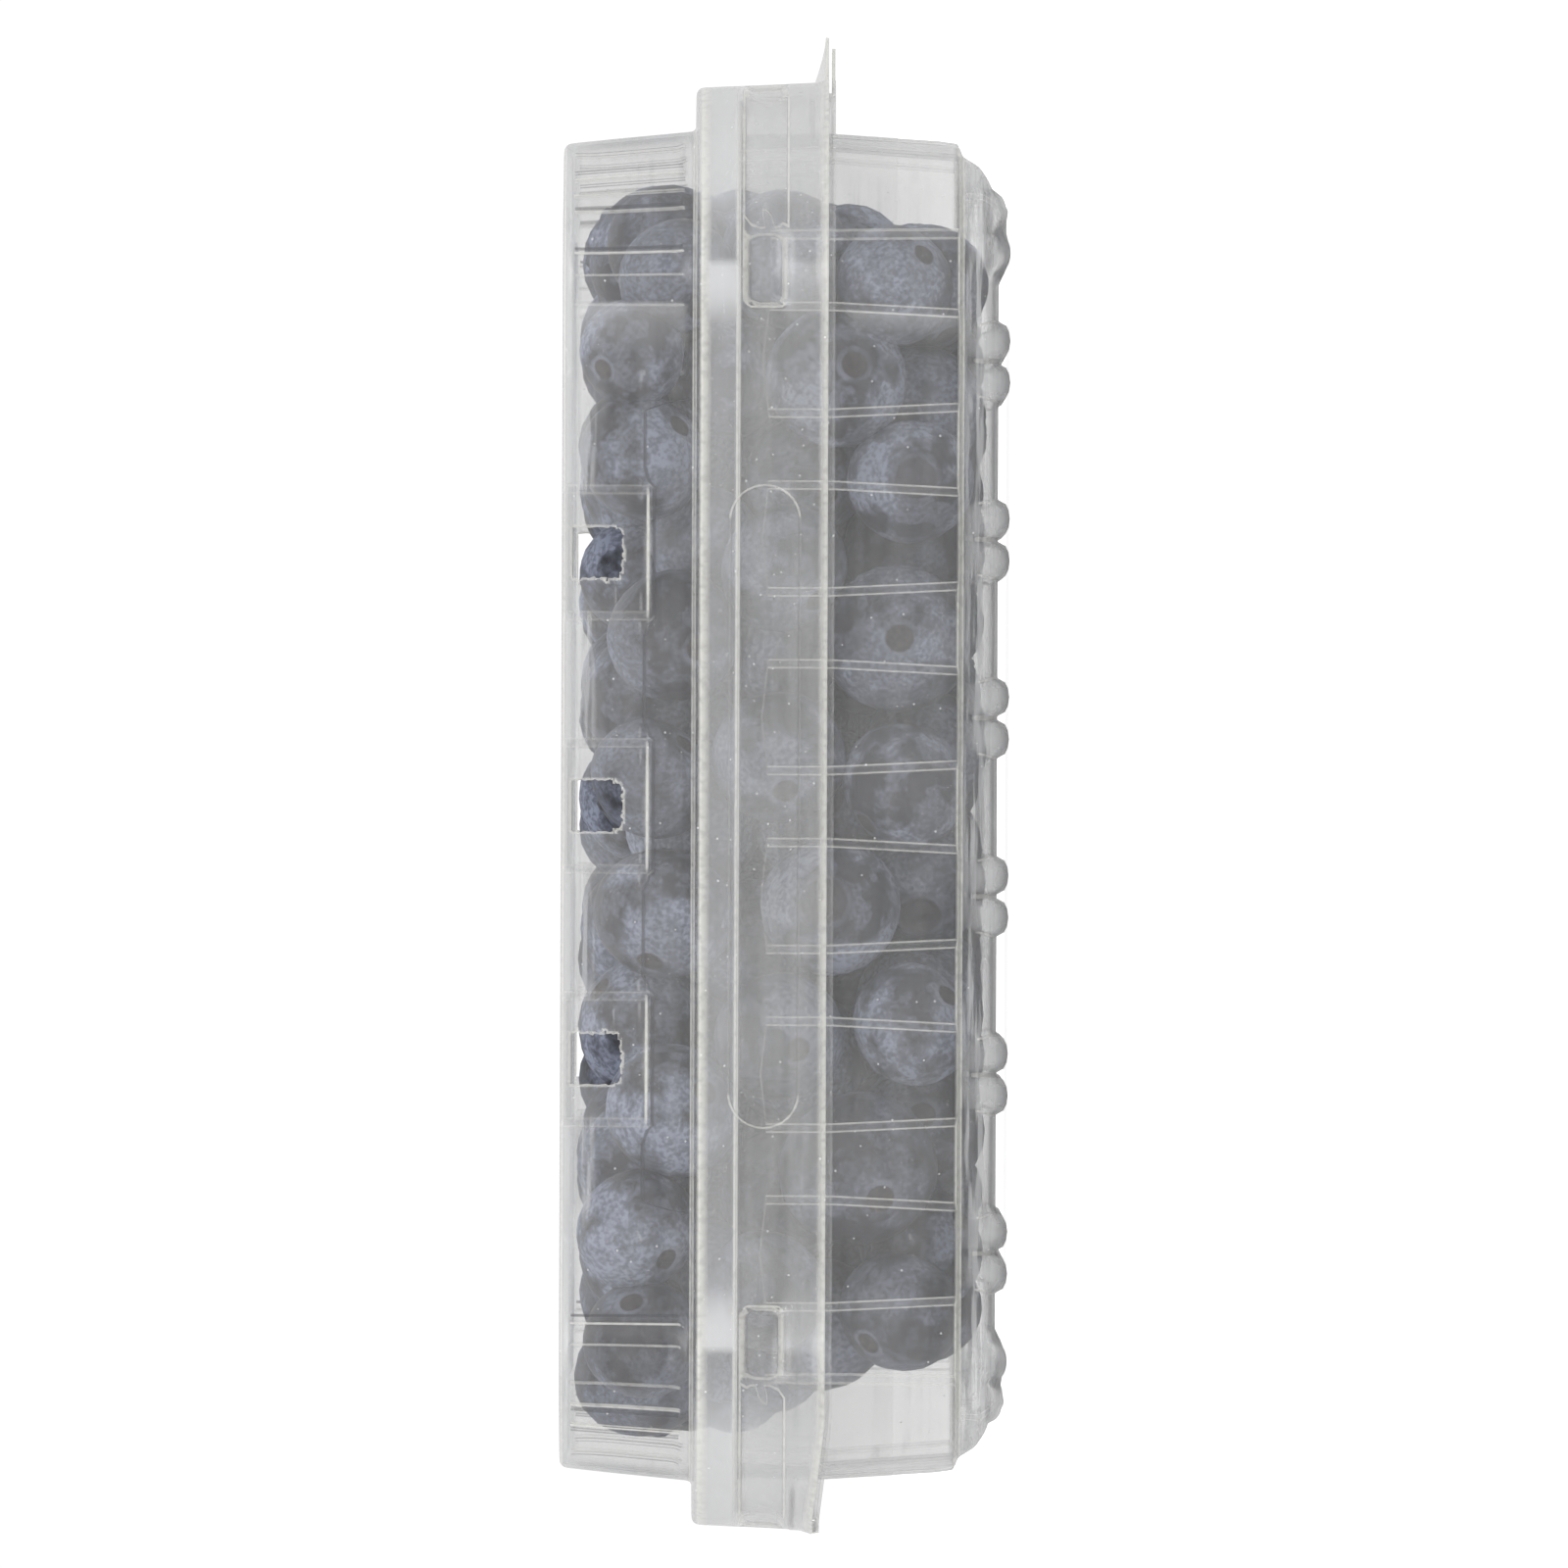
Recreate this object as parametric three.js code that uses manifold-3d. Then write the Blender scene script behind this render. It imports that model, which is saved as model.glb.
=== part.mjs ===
// A hinged clear punnet of blueberries, standing on the ribs of its base.
// Millimetres, +Z up, +X towards the opening tab, origin at the middle of its footprint.
import * as THREE from 'three';
import { mergeVertices } from 'three/addons/utils/BufferGeometryUtils.js';
import Module from 'manifold-3d';

// ---- Driving dimensions -------------------------------------------------------------------
const SKIRT_LENGTH = 184.1;        // outside of the lid's skirt at the lip
const SKIRT_WIDTH = 120;
const SHEET = 0.6;                 // wall of both shells
const TAB_REACH = 5.7;             // opening tab beyond the skirt
const TAB_WIDTH = 34;
const LIP_REACH = 28.05;           // skirt outside the corner centres, so also its corner radius
const BODY_X = -TAB_REACH / 2;     // middle of the shells, so that the tab counts in the box
const CORNER_X = SKIRT_LENGTH / 2 - LIP_REACH;   // corner centres, from the shells' middle
const CORNER_Y = SKIRT_WIDTH / 2 - LIP_REACH;

const LID_TOP = 56.5;
const LIP_GAP = 0.3;               // between the base's flange and the lid's lip
const FLANGE_TOP = 22.7;
const HINGE_RISE = 1.5;            // how far the lips climb at the hinge end
const HINGE_RUN = [78, 90];        // where along the long sides they climb

const PANEL_PITCH = 22.5;          // proud panels down the base's sides
const PANELS_PER_SIDE = 6;
const PANEL_WIDTH = 12.3;          // at the lip
const PANEL_STEP = 1;              // how proud a panel is
const PANEL_SLOPE = 1.2;           // width of its slanted edge
const PANEL_FOOT = 6.4;
const PANEL_HEAD = 31;
const END_PANELS = 2;              // panels across each end

const RIB_PROUD = 1.5;             // foot ribs under the floor, in pairs below the panels
const RIB_WIDTH = 4.6;
const RIB_FLAT = 2.4;
const RIB_PAIR = 5.3;
const FLOOR_UNDERSIDE = 1.5;

const POCKET_PITCH = 31.9;         // vent pockets along the lid's sides
const POCKETS_PER_SIDE = 3;
const POCKET_WIDTH = 17.5;
const POCKET_SLOPE = 2;
const POCKET_DEPTH = 1.6;
const POCKET_FLOOR = 45.4;
const VENT_WIDTH = 6.4;
const VENT_LOW = 49;
const VENT_HIGH = 55.4;

const BERRY_COUNT = 200;
const BERRY_RADII = [7.2, 9.4];
const HEAP_FLOOR = 2.8;
const HEAP_TOP = 54.7;
const CORES = [[-64, 65, 9, 48], [-72, 71, 28, 48]];   // [back, front, low, high] inside the fruit
const CORE_HALF_WIDTH = 43;
const SHOWS_WITHIN = 4;            // fruit this near the plastic shows, and is fused on the core
const FACET_SWELL = 1.16;          // a 20-sided berry this much wider has a round one's volume
const SWELL_STEP = 0.02;
const TILT = 0.12;                 // radians that few-sided berries lean, each its own way
const POUR_LOW = [-74, -30, 8];    // the space that fruit starts from
const POUR_SPAN = [148, 74, 40];
const SETTLE_STEPS = 500;
const PUSH_SHARE = 0.27;           // of an overlap, that each berry gives way in one step
const SINK = 0.05;                 // how far fruit sinks in one step
const SEED = 20817;

const CORNER_STEPS = 5;            // facets round each plan corner

// ---- Sheet profiles: [reach outside the corner centres, height], from the middle outwards --
const BASE_PROFILE = [
  [3, FLOOR_UNDERSIDE], [11, 1.8], [15.4, 3.3], [18.1, 5.9], [19.4, 6.6], [20.5, 22.1],
  [21, 32.6], [22, 34.3], [24, 34.3], [24.9, 33.2], [25.8, 22.1], [27.9, 22.1],
];
const LID_PROFILE = [
  [7.5, 55.5], [8.8, LID_TOP], [18.6, LID_TOP], [19.8, 55.8], [20.1, 54.9], [20.6, 47.2],
  [20.7, 45.4], [21.4, 41], [22.2, 39.9], [26.1, 39.7], [26.9, 38.6], [28.05, 24.4],
  [28.05, FLANGE_TOP + LIP_GAP],
];

// ---- Heap tables --------------------------------------------------------------------------
// How far outside the corner centres the fruit may reach at a height, inside both shells.
const CAVITY = [[1.9, 6.8], [2.6, 11.6], [4.3, 14.9], [6.4, 16.8], [8, 17.9], [22, 19.1], [40, 19.5],
  [44, 19.1], [46.5, 17.5], [55.5, 16.9]];

// Where the heap ends at a height: [height, hinge end, tab end], from the shells' middle.
const HEAP_ENDS = [[5, -71, 72], [20, -72, 77], [35, -80.5, 79], [55, -80.5, 79]];

// Fruit that lies against one long wall: [x, height, radius].
const AGAINST_WALL = [
  [66.6, 42.6, 7.6], [54.6, 47.4, 6.9], [41.7, 46.6, 8.2], [18.6, 42.3, 8.4], [0.5, 45, 8],
  [-16.4, 43.4, 9], [-41.4, 42.4, 8.8], [-56.6, 47.4, 8], [-75.4, 45.9, 7.8], [51.5, 21.5, 8.8],
  [38.6, 12.7, 8], [18.6, 14.6, 9.6], [-0.1, 13.4, 8.2], [-15.4, 22.4, 8.8], [-30.2, 12.1, 7.9],
  [-48.9, 18.8, 10.2], [65, 15.2, 7.8], [-66.4, 13.6, 7.8], [27, 28.5, 8.4], [-32, 29, 8.2],
  [-64, 30.5, 8], [3.5, 29, 8.6],
];

const wasm = await Module();
wasm.setup();

// ---- Solids in and out of the boolean library ----------------------------------------------
function solidFrom(geometry) {
  geometry.deleteAttribute('normal');
  geometry.deleteAttribute('uv');
  const merged = mergeVertices(geometry, 1e-4);
  return new wasm.Manifold(new wasm.Mesh({
    numProp: 3,
    vertProperties: new Float32Array(merged.attributes.position.array),
    triVerts: new Uint32Array(merged.index.array),
  }));
}

function geometryFrom(solid) {
  const mesh = solid.getMesh();
  const geometry = new THREE.BufferGeometry();
  geometry.setAttribute('position', new THREE.BufferAttribute(mesh.vertProperties, 3));
  geometry.setIndex(new THREE.BufferAttribute(mesh.triVerts, 1));
  return geometry;
}

// ---- The plan outline that both shells share ------------------------------------------------
// A station is a point of the rectangle through the corner centres, with its outward normal.
// The outline at a given reach is that rectangle pushed out along the normals.
function planStations(longSide, shortSide, cornerSteps) {
  const stations = [];
  const corner = (x, y, from) => {
    for (let i = 0; i <= cornerSteps; i += 1) {
      const angle = from + (i / cornerSteps) * Math.PI / 2;
      stations.push({ x, y, nx: Math.cos(angle), ny: Math.sin(angle) });
    }
  };
  corner(CORNER_X, -CORNER_Y, -Math.PI / 2);
  shortSide.forEach((y) => stations.push({ x: CORNER_X, y, nx: 1, ny: 0 }));
  corner(CORNER_X, CORNER_Y, 0);
  [...longSide].reverse().forEach((x) => stations.push({ x, y: CORNER_Y, nx: 0, ny: 1 }));
  corner(-CORNER_X, CORNER_Y, Math.PI / 2);
  [...shortSide].reverse().forEach((y) => stations.push({ x: -CORNER_X, y, nx: -1, ny: 0 }));
  corner(-CORNER_X, -CORNER_Y, Math.PI);
  longSide.forEach((x) => stations.push({ x, y: -CORNER_Y, nx: 0, ny: -1 }));
  return stations;
}

// The other face of the sheet: the profile moved sideways by its thickness.
function offsetProfile(profile, thickness) {
  const normal = (a, b) => {
    const length = Math.hypot(b[0] - a[0], b[1] - a[1]);
    return [-(b[1] - a[1]) / length, (b[0] - a[0]) / length];
  };
  return profile.map((point, i) => {
    const before = i > 0 ? normal(profile[i - 1], point) : normal(point, profile[i + 1]);
    const after = i < profile.length - 1 ? normal(point, profile[i + 1]) : before;
    const scale = thickness / (1 + before[0] * after[0] + before[1] * after[1]);
    return [point[0] + (before[0] + after[0]) * scale, point[1] + (before[1] + after[1]) * scale];
  });
}

// One closed skin over both faces of a sheet. relief(station, reach, height) pushes it outwards.
function shellGeometry(stations, underside, upperside, relief) {
  const levels = [...underside, ...[...upperside].reverse()];
  const count = stations.length;
  const points = [];
  levels.forEach(([reach, height]) => stations.forEach((station) => {
    const [push, lift] = relief(station, reach, height);
    points.push(
      BODY_X + station.x + station.nx * (reach + push),
      station.y + station.ny * (reach + push),
      height + lift,
    );
  }));
  const faces = [];
  for (let level = 0; level < levels.length - 1; level += 1) {
    for (let i = 0; i < count; i += 1) {
      const a = level * count + i;
      const b = level * count + (i + 1) % count;
      faces.push(a, b, b + count, a, b + count, a + count);
    }
  }
  const cap = (level, flip) => {
    const height = levels[level][1];
    const middle = points.length / 3;
    points.push(BODY_X, 0, height);
    for (let i = 0; i < count; i += 1) {
      const a = level * count + i;
      const b = level * count + (i + 1) % count;
      faces.push(...(flip ? [middle, b, a] : [middle, a, b]));
    }
  };
  cap(0, true);
  cap(levels.length - 1, false);
  const geometry = new THREE.BufferGeometry();
  geometry.setAttribute('position', new THREE.BufferAttribute(new Float32Array(points), 3));
  geometry.setIndex(faces);
  return geometry;
}

const clamp01 = (t) => Math.min(1, Math.max(0, t));
const centred = (count, pitch) => Array.from({ length: count }, (_, i) => (i - (count - 1) / 2) * pitch);

// Near the hinge end both lips climb towards the lid, where the sheet folds.
function hingeLift(station, reach, height) {
  if (reach < 25 || height > 26) return 0;
  const along = -(station.x + station.nx * reach);
  return HINGE_RISE * clamp01((along - HINGE_RUN[0]) / (HINGE_RUN[1] - HINGE_RUN[0]));
}

// ---- Base ----------------------------------------------------------------------------------
const panelCentres = centred(PANELS_PER_SIDE, PANEL_PITCH);
const endPanelCentres = centred(END_PANELS, PANEL_PITCH);

function panelEdges(centres) {
  const half = PANEL_WIDTH / 2;
  return centres.flatMap((c) => [c - half - PANEL_SLOPE, c - half, c + half, c + half + PANEL_SLOPE]);
}

function baseRelief(station, reach, height) {
  const lift = hingeLift(station, reach, height);
  const onWall = height > PANEL_FOOT && height < PANEL_HEAD && reach < 23;
  const straight = station.nx === 0 || station.ny === 0;
  if (!onWall || !straight) return [0, lift];
  const along = station.nx === 0 ? station.x : station.y;
  const centres = station.nx === 0 ? panelCentres : endPanelCentres;
  const inPanel = centres.some((c) => Math.abs(along - c) <= PANEL_WIDTH / 2 + 0.01);
  return [inPanel ? PANEL_STEP : 0, lift];
}

// A foot rib: a bar across the floor that follows the curve of the base's lower edge.
function footRib(x) {
  const curve = BASE_PROFILE.slice(0, 4).map(([reach, height]) => [CORNER_Y + reach, height]);
  curve[0][0] = CORNER_Y;
  const inner = offsetProfile(curve, SHEET * 0.5);
  const outer = offsetProfile(curve, -RIB_PROUD);
  outer[outer.length - 1] = [curve[3][0] + RIB_PROUD * 0.2, curve[3][1] + 0.6];
  const path = (side) => side.map(([y, z]) => [y, Math.max(z, 0)]);
  const mirror = (side) => [...side.map(([y, z]) => [-y, z]).reverse(), ...side];
  const top = mirror(inner);
  const bottom = mirror(path(outer));
  const rows = top.length;
  const points = [];
  const across = [
    [-RIB_WIDTH / 2, top], [RIB_WIDTH / 2, top], [RIB_FLAT / 2, bottom], [-RIB_FLAT / 2, bottom],
  ];
  for (let i = 0; i < rows; i += 1) {
    across.forEach(([dx, side]) => points.push(x + dx, side[i][0], side[i][1]));
  }
  const faces = [];
  for (let i = 0; i < rows - 1; i += 1) {
    for (let k = 0; k < 4; k += 1) {
      const a = i * 4 + k;
      const b = i * 4 + (k + 1) % 4;
      faces.push(a, b, b + 4, a, b + 4, a + 4);
    }
  }
  const last = (rows - 1) * 4;
  faces.push(0, 2, 1, 0, 3, 2, last, last + 1, last + 2, last, last + 2, last + 3);
  const geometry = new THREE.BufferGeometry();
  geometry.setAttribute('position', new THREE.BufferAttribute(new Float32Array(points), 3));
  geometry.setIndex(faces);
  return geometry;
}

// The plan of the tab: a tongue with round ends, cut from a slab that starts under the skirt.
function tabPlan(reach, low, high) {
  const tip = BODY_X + SKIRT_LENGTH / 2 + reach;
  const root = tip - reach - 1.2;
  const half = TAB_WIDTH / 2;
  const round = reach * 0.9;
  const shape = new THREE.Shape();
  shape.moveTo(root, -half);
  shape.lineTo(tip - round, -half + 1.5);
  shape.quadraticCurveTo(tip, -half + 2.5, tip, -half + round + 3);
  shape.lineTo(tip, half - round - 3);
  shape.quadraticCurveTo(tip, half - 2.5, tip - round, half - 1.5);
  shape.lineTo(root, half);
  const geometry = new THREE.ExtrudeGeometry(shape, {
    depth: high - low, bevelEnabled: false, curveSegments: 4,
  });
  geometry.translate(0, 0, low);
  return geometry;
}

function makeBase() {
  const stations = planStations(panelEdges(panelCentres), panelEdges(endPanelCentres), CORNER_STEPS);
  const upperside = offsetProfile(BASE_PROFILE, SHEET);
  let solid = solidFrom(shellGeometry(stations, BASE_PROFILE, upperside, baseRelief));
  panelCentres.forEach((centre) => [-0.5, 0.5].forEach((side) => {
    solid = solid.add(solidFrom(footRib(BODY_X + centre + side * RIB_PAIR)));
  }));
  const tab = tabPlan(TAB_REACH - 1.4, FLANGE_TOP - SHEET, FLANGE_TOP);
  return solid.add(solidFrom(tab));
}

// ---- Lid -----------------------------------------------------------------------------------
const pocketCentres = centred(POCKETS_PER_SIDE, POCKET_PITCH);

function lidRelief(station, reach, height) {
  const lift = hingeLift(station, reach, height);
  const onPocket = height > POCKET_FLOOR + 0.5 && height < LID_TOP - 0.8 && reach > 19;
  if (!onPocket || station.nx !== 0) return [0, lift];
  const inPocket = pocketCentres.some((c) => Math.abs(station.x - c) <= POCKET_WIDTH / 2 + 0.01);
  return [inPocket ? -POCKET_DEPTH : 0, lift];
}

// The tab's section: it leaves the skirt above the lip and thins to its tip.
function lidTab() {
  const skirt = BODY_X + SKIRT_LENGTH / 2;
  const low = FLANGE_TOP + LIP_GAP;
  const section = new THREE.Shape();
  section.moveTo(skirt - SHEET, low);
  section.lineTo(skirt + TAB_REACH, low);
  section.lineTo(skirt + TAB_REACH, low + 0.4);
  section.lineTo(skirt + TAB_REACH * 0.45, low + 0.7);
  section.lineTo(skirt - SHEET, low + 1.6);
  const wedge = new THREE.ExtrudeGeometry(section, { depth: TAB_WIDTH, bevelEnabled: false });
  wedge.rotateX(Math.PI / 2);
  wedge.translate(0, TAB_WIDTH / 2, 0);
  return solidFrom(wedge).intersect(solidFrom(tabPlan(TAB_REACH, low - 1, low + 3)));
}

function makeLid() {
  const half = POCKET_WIDTH / 2;
  const edges = pocketCentres.flatMap((c) => [
    c - half - POCKET_SLOPE, c - half, c + half, c + half + POCKET_SLOPE,
  ]);
  const stations = planStations(edges, [0], CORNER_STEPS);
  const inner = offsetProfile(LID_PROFILE, -SHEET);
  inner[inner.length - 1][1] = FLANGE_TOP + LIP_GAP;
  let solid = solidFrom(shellGeometry(stations, inner, LID_PROFILE, lidRelief));
  pocketCentres.forEach((centre) => {
    const vent = new THREE.BoxGeometry(VENT_WIDTH, SKIRT_WIDTH, VENT_HIGH - VENT_LOW);
    vent.translate(BODY_X + centre, 0, (VENT_HIGH + VENT_LOW) / 2);
    solid = solid.subtract(solidFrom(vent));
  });
  return solid.add(lidTab());
}

// ---- Blueberries ---------------------------------------------------------------------------
function randomFrom(seed) {
  let state = seed;
  return () => {
    state = (state * 16807) % 2147483647;
    return state / 2147483647;
  };
}

function fromTable(table, height, column) {
  const above = table.findIndex(([level]) => level > height);
  if (above === 0) return table[0][column];
  if (above < 0) return table[table.length - 1][column];
  const low = table[above - 1];
  const high = table[above];
  return low[column] + (high[column] - low[column]) * (height - low[0]) / (high[0] - low[0]);
}

function clamp(value, low, high) {
  return Math.min(high, Math.max(low, value));
}

function keepInside(berry) {
  berry.z = clamp(berry.z, HEAP_FLOOR + berry.r, HEAP_TOP - berry.r);
  const back = fromTable(HEAP_ENDS, berry.z, 1) + berry.r;
  const front = fromTable(HEAP_ENDS, berry.z, 2) - berry.r;
  berry.x = clamp(berry.x, back, front);
  const rooms = [-0.85, -0.6, -0.3, 0, 0.3, 0.6, 0.85].map(
    (s) => fromTable(CAVITY, berry.z + berry.r * s, 1) + berry.r * (1 - Math.sqrt(1 - s * s)),
  );
  const room = Math.min(...rooms) - berry.r;
  const dx = Math.max(0, Math.abs(berry.x) - CORNER_X);
  const dy = Math.max(0, Math.abs(berry.y) - CORNER_Y);
  const out = Math.hypot(dx, dy);
  const pull = out > room ? room / out : 1;
  if (dx > 0) berry.x = Math.sign(berry.x) * (CORNER_X + dx * pull);
  if (dy > 0) berry.y = Math.sign(berry.y) * (CORNER_Y + dy * pull);
}

// How far its neighbours push one berry in a step.
function pushOn(berry, berries) {
  const push = { x: 0, y: 0, z: 0 };
  berries.forEach((other) => {
    if (other === berry) return;
    const gap = { x: berry.x - other.x, y: berry.y - other.y, z: berry.z - other.z };
    const apart = Math.hypot(gap.x, gap.y, gap.z);
    const overlap = berry.r + other.r - apart;
    if (overlap <= 0) return;
    Object.keys(push).forEach((axis) => {
      push[axis] += gap[axis] / apart * overlap * PUSH_SHARE;
    });
  });
  return push;
}

// Fruit poured into the closed pack: random places, then pushed apart until they rest together.
function settledBerries() {
  const random = randomFrom(SEED);
  const berries = Array.from({ length: BERRY_COUNT }, () => {
    const r = BERRY_RADII[0] + (BERRY_RADII[1] - BERRY_RADII[0]) / 2 * (random() + random());
    const [x, y, z] = POUR_LOW.map((low, i) => low + random() * POUR_SPAN[i]);
    return { r, x, y, z };
  });
  AGAINST_WALL.forEach(([x, z, r], i) => {
    berries[i] = { r, x: x - BODY_X, y: -SKIRT_WIDTH / 2, z };
  });
  berries.forEach(keepInside);
  const held = berries.slice(0, AGAINST_WALL.length).map((berry) => ({ ...berry }));
  for (let step = 0; step < SETTLE_STEPS; step += 1) {
    const pushes = berries.map((berry) => pushOn(berry, berries));
    berries.forEach((berry, i) => {
      berry.x += pushes[i].x;
      berry.y += pushes[i].y;
      berry.z += pushes[i].z - SINK;
    });
    held.forEach((home, i) => {
      ['x', 'y', 'z'].forEach((axis) => {
        berries[i][axis] = (berries[i][axis] + home[axis]) / 2;
      });
    });
    berries.forEach(keepInside);
  }
  return berries;
}

function showsOutside(berry) {
  const dx = Math.max(0, Math.abs(berry.x) - CORNER_X);
  const dy = Math.max(0, Math.abs(berry.y) - CORNER_Y);
  const atWall = Math.hypot(dx, dy) + berry.r > fromTable(CAVITY, berry.z, 1) - SHOWS_WITHIN;
  const atBack = berry.x - berry.r < fromTable(HEAP_ENDS, berry.z, 1) + SHOWS_WITHIN;
  const atFront = berry.x + berry.r > fromTable(HEAP_ENDS, berry.z, 2) - SHOWS_WITHIN;
  const atFloor = berry.z - berry.r < HEAP_FLOOR + SHOWS_WITHIN;
  return atWall || atBack || atFront || atFloor || berry.z + berry.r > HEAP_TOP - SHOWS_WITHIN;
}

function outsideCavity(x, y, z) {
  const dx = Math.max(0, Math.abs(x) - CORNER_X);
  const dy = Math.max(0, Math.abs(y) - CORNER_Y);
  return z < HEAP_FLOOR || z > HEAP_TOP || Math.hypot(dx, dy) > fromTable(CAVITY, z, 1);
}

// Whether a corner or the middle of an edge of the ball, at this size, would meet the plastic.
function meetsPlastic(ball, berry, size) {
  const corners = ball.getAttribute('position');
  for (let i = 0; i < corners.count; i += 1) {
    const next = i % 3 === 2 ? i - 2 : i + 1;
    for (const share of [0, 0.5]) {
      const [x, y, z] = ['getX', 'getY', 'getZ'].map((axis) => (
        size * (corners[axis](i) * (1 - share) + corners[axis](next) * share)
      ));
      if (outsideCavity(berry.x + x, berry.y + y, berry.z + z)) {
        return true;
      }
    }
  }
  return false;
}

// A 20-sided berry, turned the way that leaves it the largest between the walls.
function facetedBerry(berry, i) {
  const choices = [0, Math.PI / 2, Math.PI / 4].map((turn) => {
    const ball = new THREE.IcosahedronGeometry(1, 0);
    ball.rotateX(TILT * Math.sin(i));
    ball.rotateY(TILT * Math.cos(2 * i));
    ball.rotateZ(turn + TILT * Math.sin(3 * i));
    let swell = FACET_SWELL;
    while (swell > 1 && meetsPlastic(ball, berry, berry.r * swell)) {
      swell -= SWELL_STEP;
    }
    return { ball, swell };
  });
  const { ball, swell } = choices.reduce((best, next) => (next.swell > best.swell ? next : best));
  ball.scale(berry.r * swell, berry.r * swell, berry.r * swell);
  ball.translate(BODY_X + berry.x, berry.y, berry.z);
  return solidFrom(ball);
}

function coreBlock([back, front, low, high]) {
  const block = new THREE.BoxGeometry(front - back, 2 * CORE_HALF_WIDTH, high - low);
  block.translate(BODY_X + (front + back) / 2, 0, (high + low) / 2);
  return solidFrom(block);
}

// A sealed gap deep in the heap is a surface of its own; only the outer surface is kept.
function withoutSealedGaps(solid) {
  const surfaces = solid.decompose();
  return surfaces.reduce((most, next) => (next.volume() > most.volume() ? next : most));
}

function makeBerries() {
  const fruit = settledBerries().filter(showsOutside).map(facetedBerry);
  return withoutSealedGaps(wasm.Manifold.union([...CORES.map(coreBlock), ...fruit]));
}

// ---- The punnet ----------------------------------------------------------------------------
const clear = { color: 0xdcdcd8, roughness: 0.12, metalness: 0, transparent: true, opacity: 0.35 };

function part(name, solid, material) {
  const mesh = new THREE.Mesh(geometryFrom(solid), new THREE.MeshStandardMaterial(material));
  mesh.name = name;
  return mesh;
}

const punnet = new THREE.Group();
punnet.name = 'punnet';
punnet.add(part('base', makeBase(), clear));
punnet.add(part('lid', makeLid(), clear));
punnet.add(part('berries', makeBerries(), { color: 0x6c7486, roughness: 0.7, metalness: 0 }));

export default punnet;
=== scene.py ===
import math

import bmesh
import bpy
import numpy as np
from mathutils import Matrix, Vector


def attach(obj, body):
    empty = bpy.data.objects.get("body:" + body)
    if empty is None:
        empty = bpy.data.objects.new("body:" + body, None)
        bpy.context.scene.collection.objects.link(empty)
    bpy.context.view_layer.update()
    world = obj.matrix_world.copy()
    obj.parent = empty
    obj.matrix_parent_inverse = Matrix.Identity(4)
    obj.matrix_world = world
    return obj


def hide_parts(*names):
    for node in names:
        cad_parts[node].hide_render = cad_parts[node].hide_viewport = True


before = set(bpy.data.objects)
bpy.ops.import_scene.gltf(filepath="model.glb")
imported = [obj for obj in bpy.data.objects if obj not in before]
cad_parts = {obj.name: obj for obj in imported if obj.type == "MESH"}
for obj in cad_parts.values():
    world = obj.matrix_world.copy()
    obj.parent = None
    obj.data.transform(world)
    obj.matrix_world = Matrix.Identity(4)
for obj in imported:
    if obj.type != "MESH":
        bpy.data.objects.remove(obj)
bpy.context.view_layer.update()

# --- Camera, floor and light ------------
# The punnet is seen level with one long side and turned a quarter turn, tab up and lid to the
# left, on a plain white floor in a bright, even light box.
VIEW_MM = 200.0
VIEW_CENTRE = (-0.1e-3, 28.4e-3)
CAMERA_AWAY = 4.0
SENSOR_MM = 36.0
LEAN = math.radians(0.21)
FAR_CLIP = 60
CLEAR_LAYERS = 80
FLOOR_SIZE = 8.0
FLOOR_GREY = (0.8, 0.8, 0.8, 1)
LAMP_AIM = (0, 0, 0.03)
# Brightness of a backdrop as a light, seen through clear plastic, and seen directly.
WORLD_LEVELS = (0.75, 0.74, 1.05)
FLOOR_LEVELS = (0.1, 0.2, 0.93)

camera_data = bpy.data.cameras.new("camera")
camera_data.sensor_width = SENSOR_MM
camera_data.lens = SENSOR_MM * CAMERA_AWAY * 1000 / VIEW_MM
camera_data.clip_end = FAR_CLIP
camera = bpy.data.objects.new("camera", camera_data)
bpy.context.collection.objects.link(camera)
looking = Matrix(((0, 1, 0), (0, 0, -1), (-1, 0, 0))).to_4x4()
camera.matrix_world = (Matrix.Translation((VIEW_CENTRE[0], -CAMERA_AWAY, VIEW_CENTRE[1]))
                       @ looking @ Matrix.Rotation(LEAN, 4, "Z"))
bpy.context.scene.camera = camera
bpy.context.scene.view_settings.view_transform = "Standard"


def backdrop_strength(tree, lighting, behind_plastic, open_view):
    """The strength socket for a backdrop's three levels."""
    path = tree.nodes.new("ShaderNodeLightPath")
    camera_part = tree.nodes.new("ShaderNodeMath")
    camera_part.operation = "MULTIPLY_ADD"
    camera_part.inputs[1].default_value = behind_plastic - lighting
    camera_part.inputs[2].default_value = lighting
    straight = tree.nodes.new("ShaderNodeMath")
    straight.operation = "SUBTRACT"
    straight.use_clamp = True
    open_part = tree.nodes.new("ShaderNodeMath")
    open_part.operation = "MULTIPLY_ADD"
    open_part.inputs[1].default_value = open_view - behind_plastic
    tree.links.new(path.outputs["Is Camera Ray"], camera_part.inputs[0])
    tree.links.new(path.outputs["Is Camera Ray"], straight.inputs[0])
    tree.links.new(path.outputs["Transparent Depth"], straight.inputs[1])
    tree.links.new(straight.outputs["Value"], open_part.inputs[0])
    tree.links.new(camera_part.outputs["Value"], open_part.inputs[2])
    return open_part.outputs["Value"]


world = bpy.data.worlds.new("light_box")
world.use_nodes = True
background = world.node_tree.nodes["Background"]
background.inputs["Color"].default_value = (1, 1, 1, 1)
world.node_tree.links.new(backdrop_strength(world.node_tree, *WORLD_LEVELS), background.inputs["Strength"])
bpy.context.scene.world = world
bpy.context.scene.cycles.transparent_max_bounces = CLEAR_LAYERS


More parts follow.
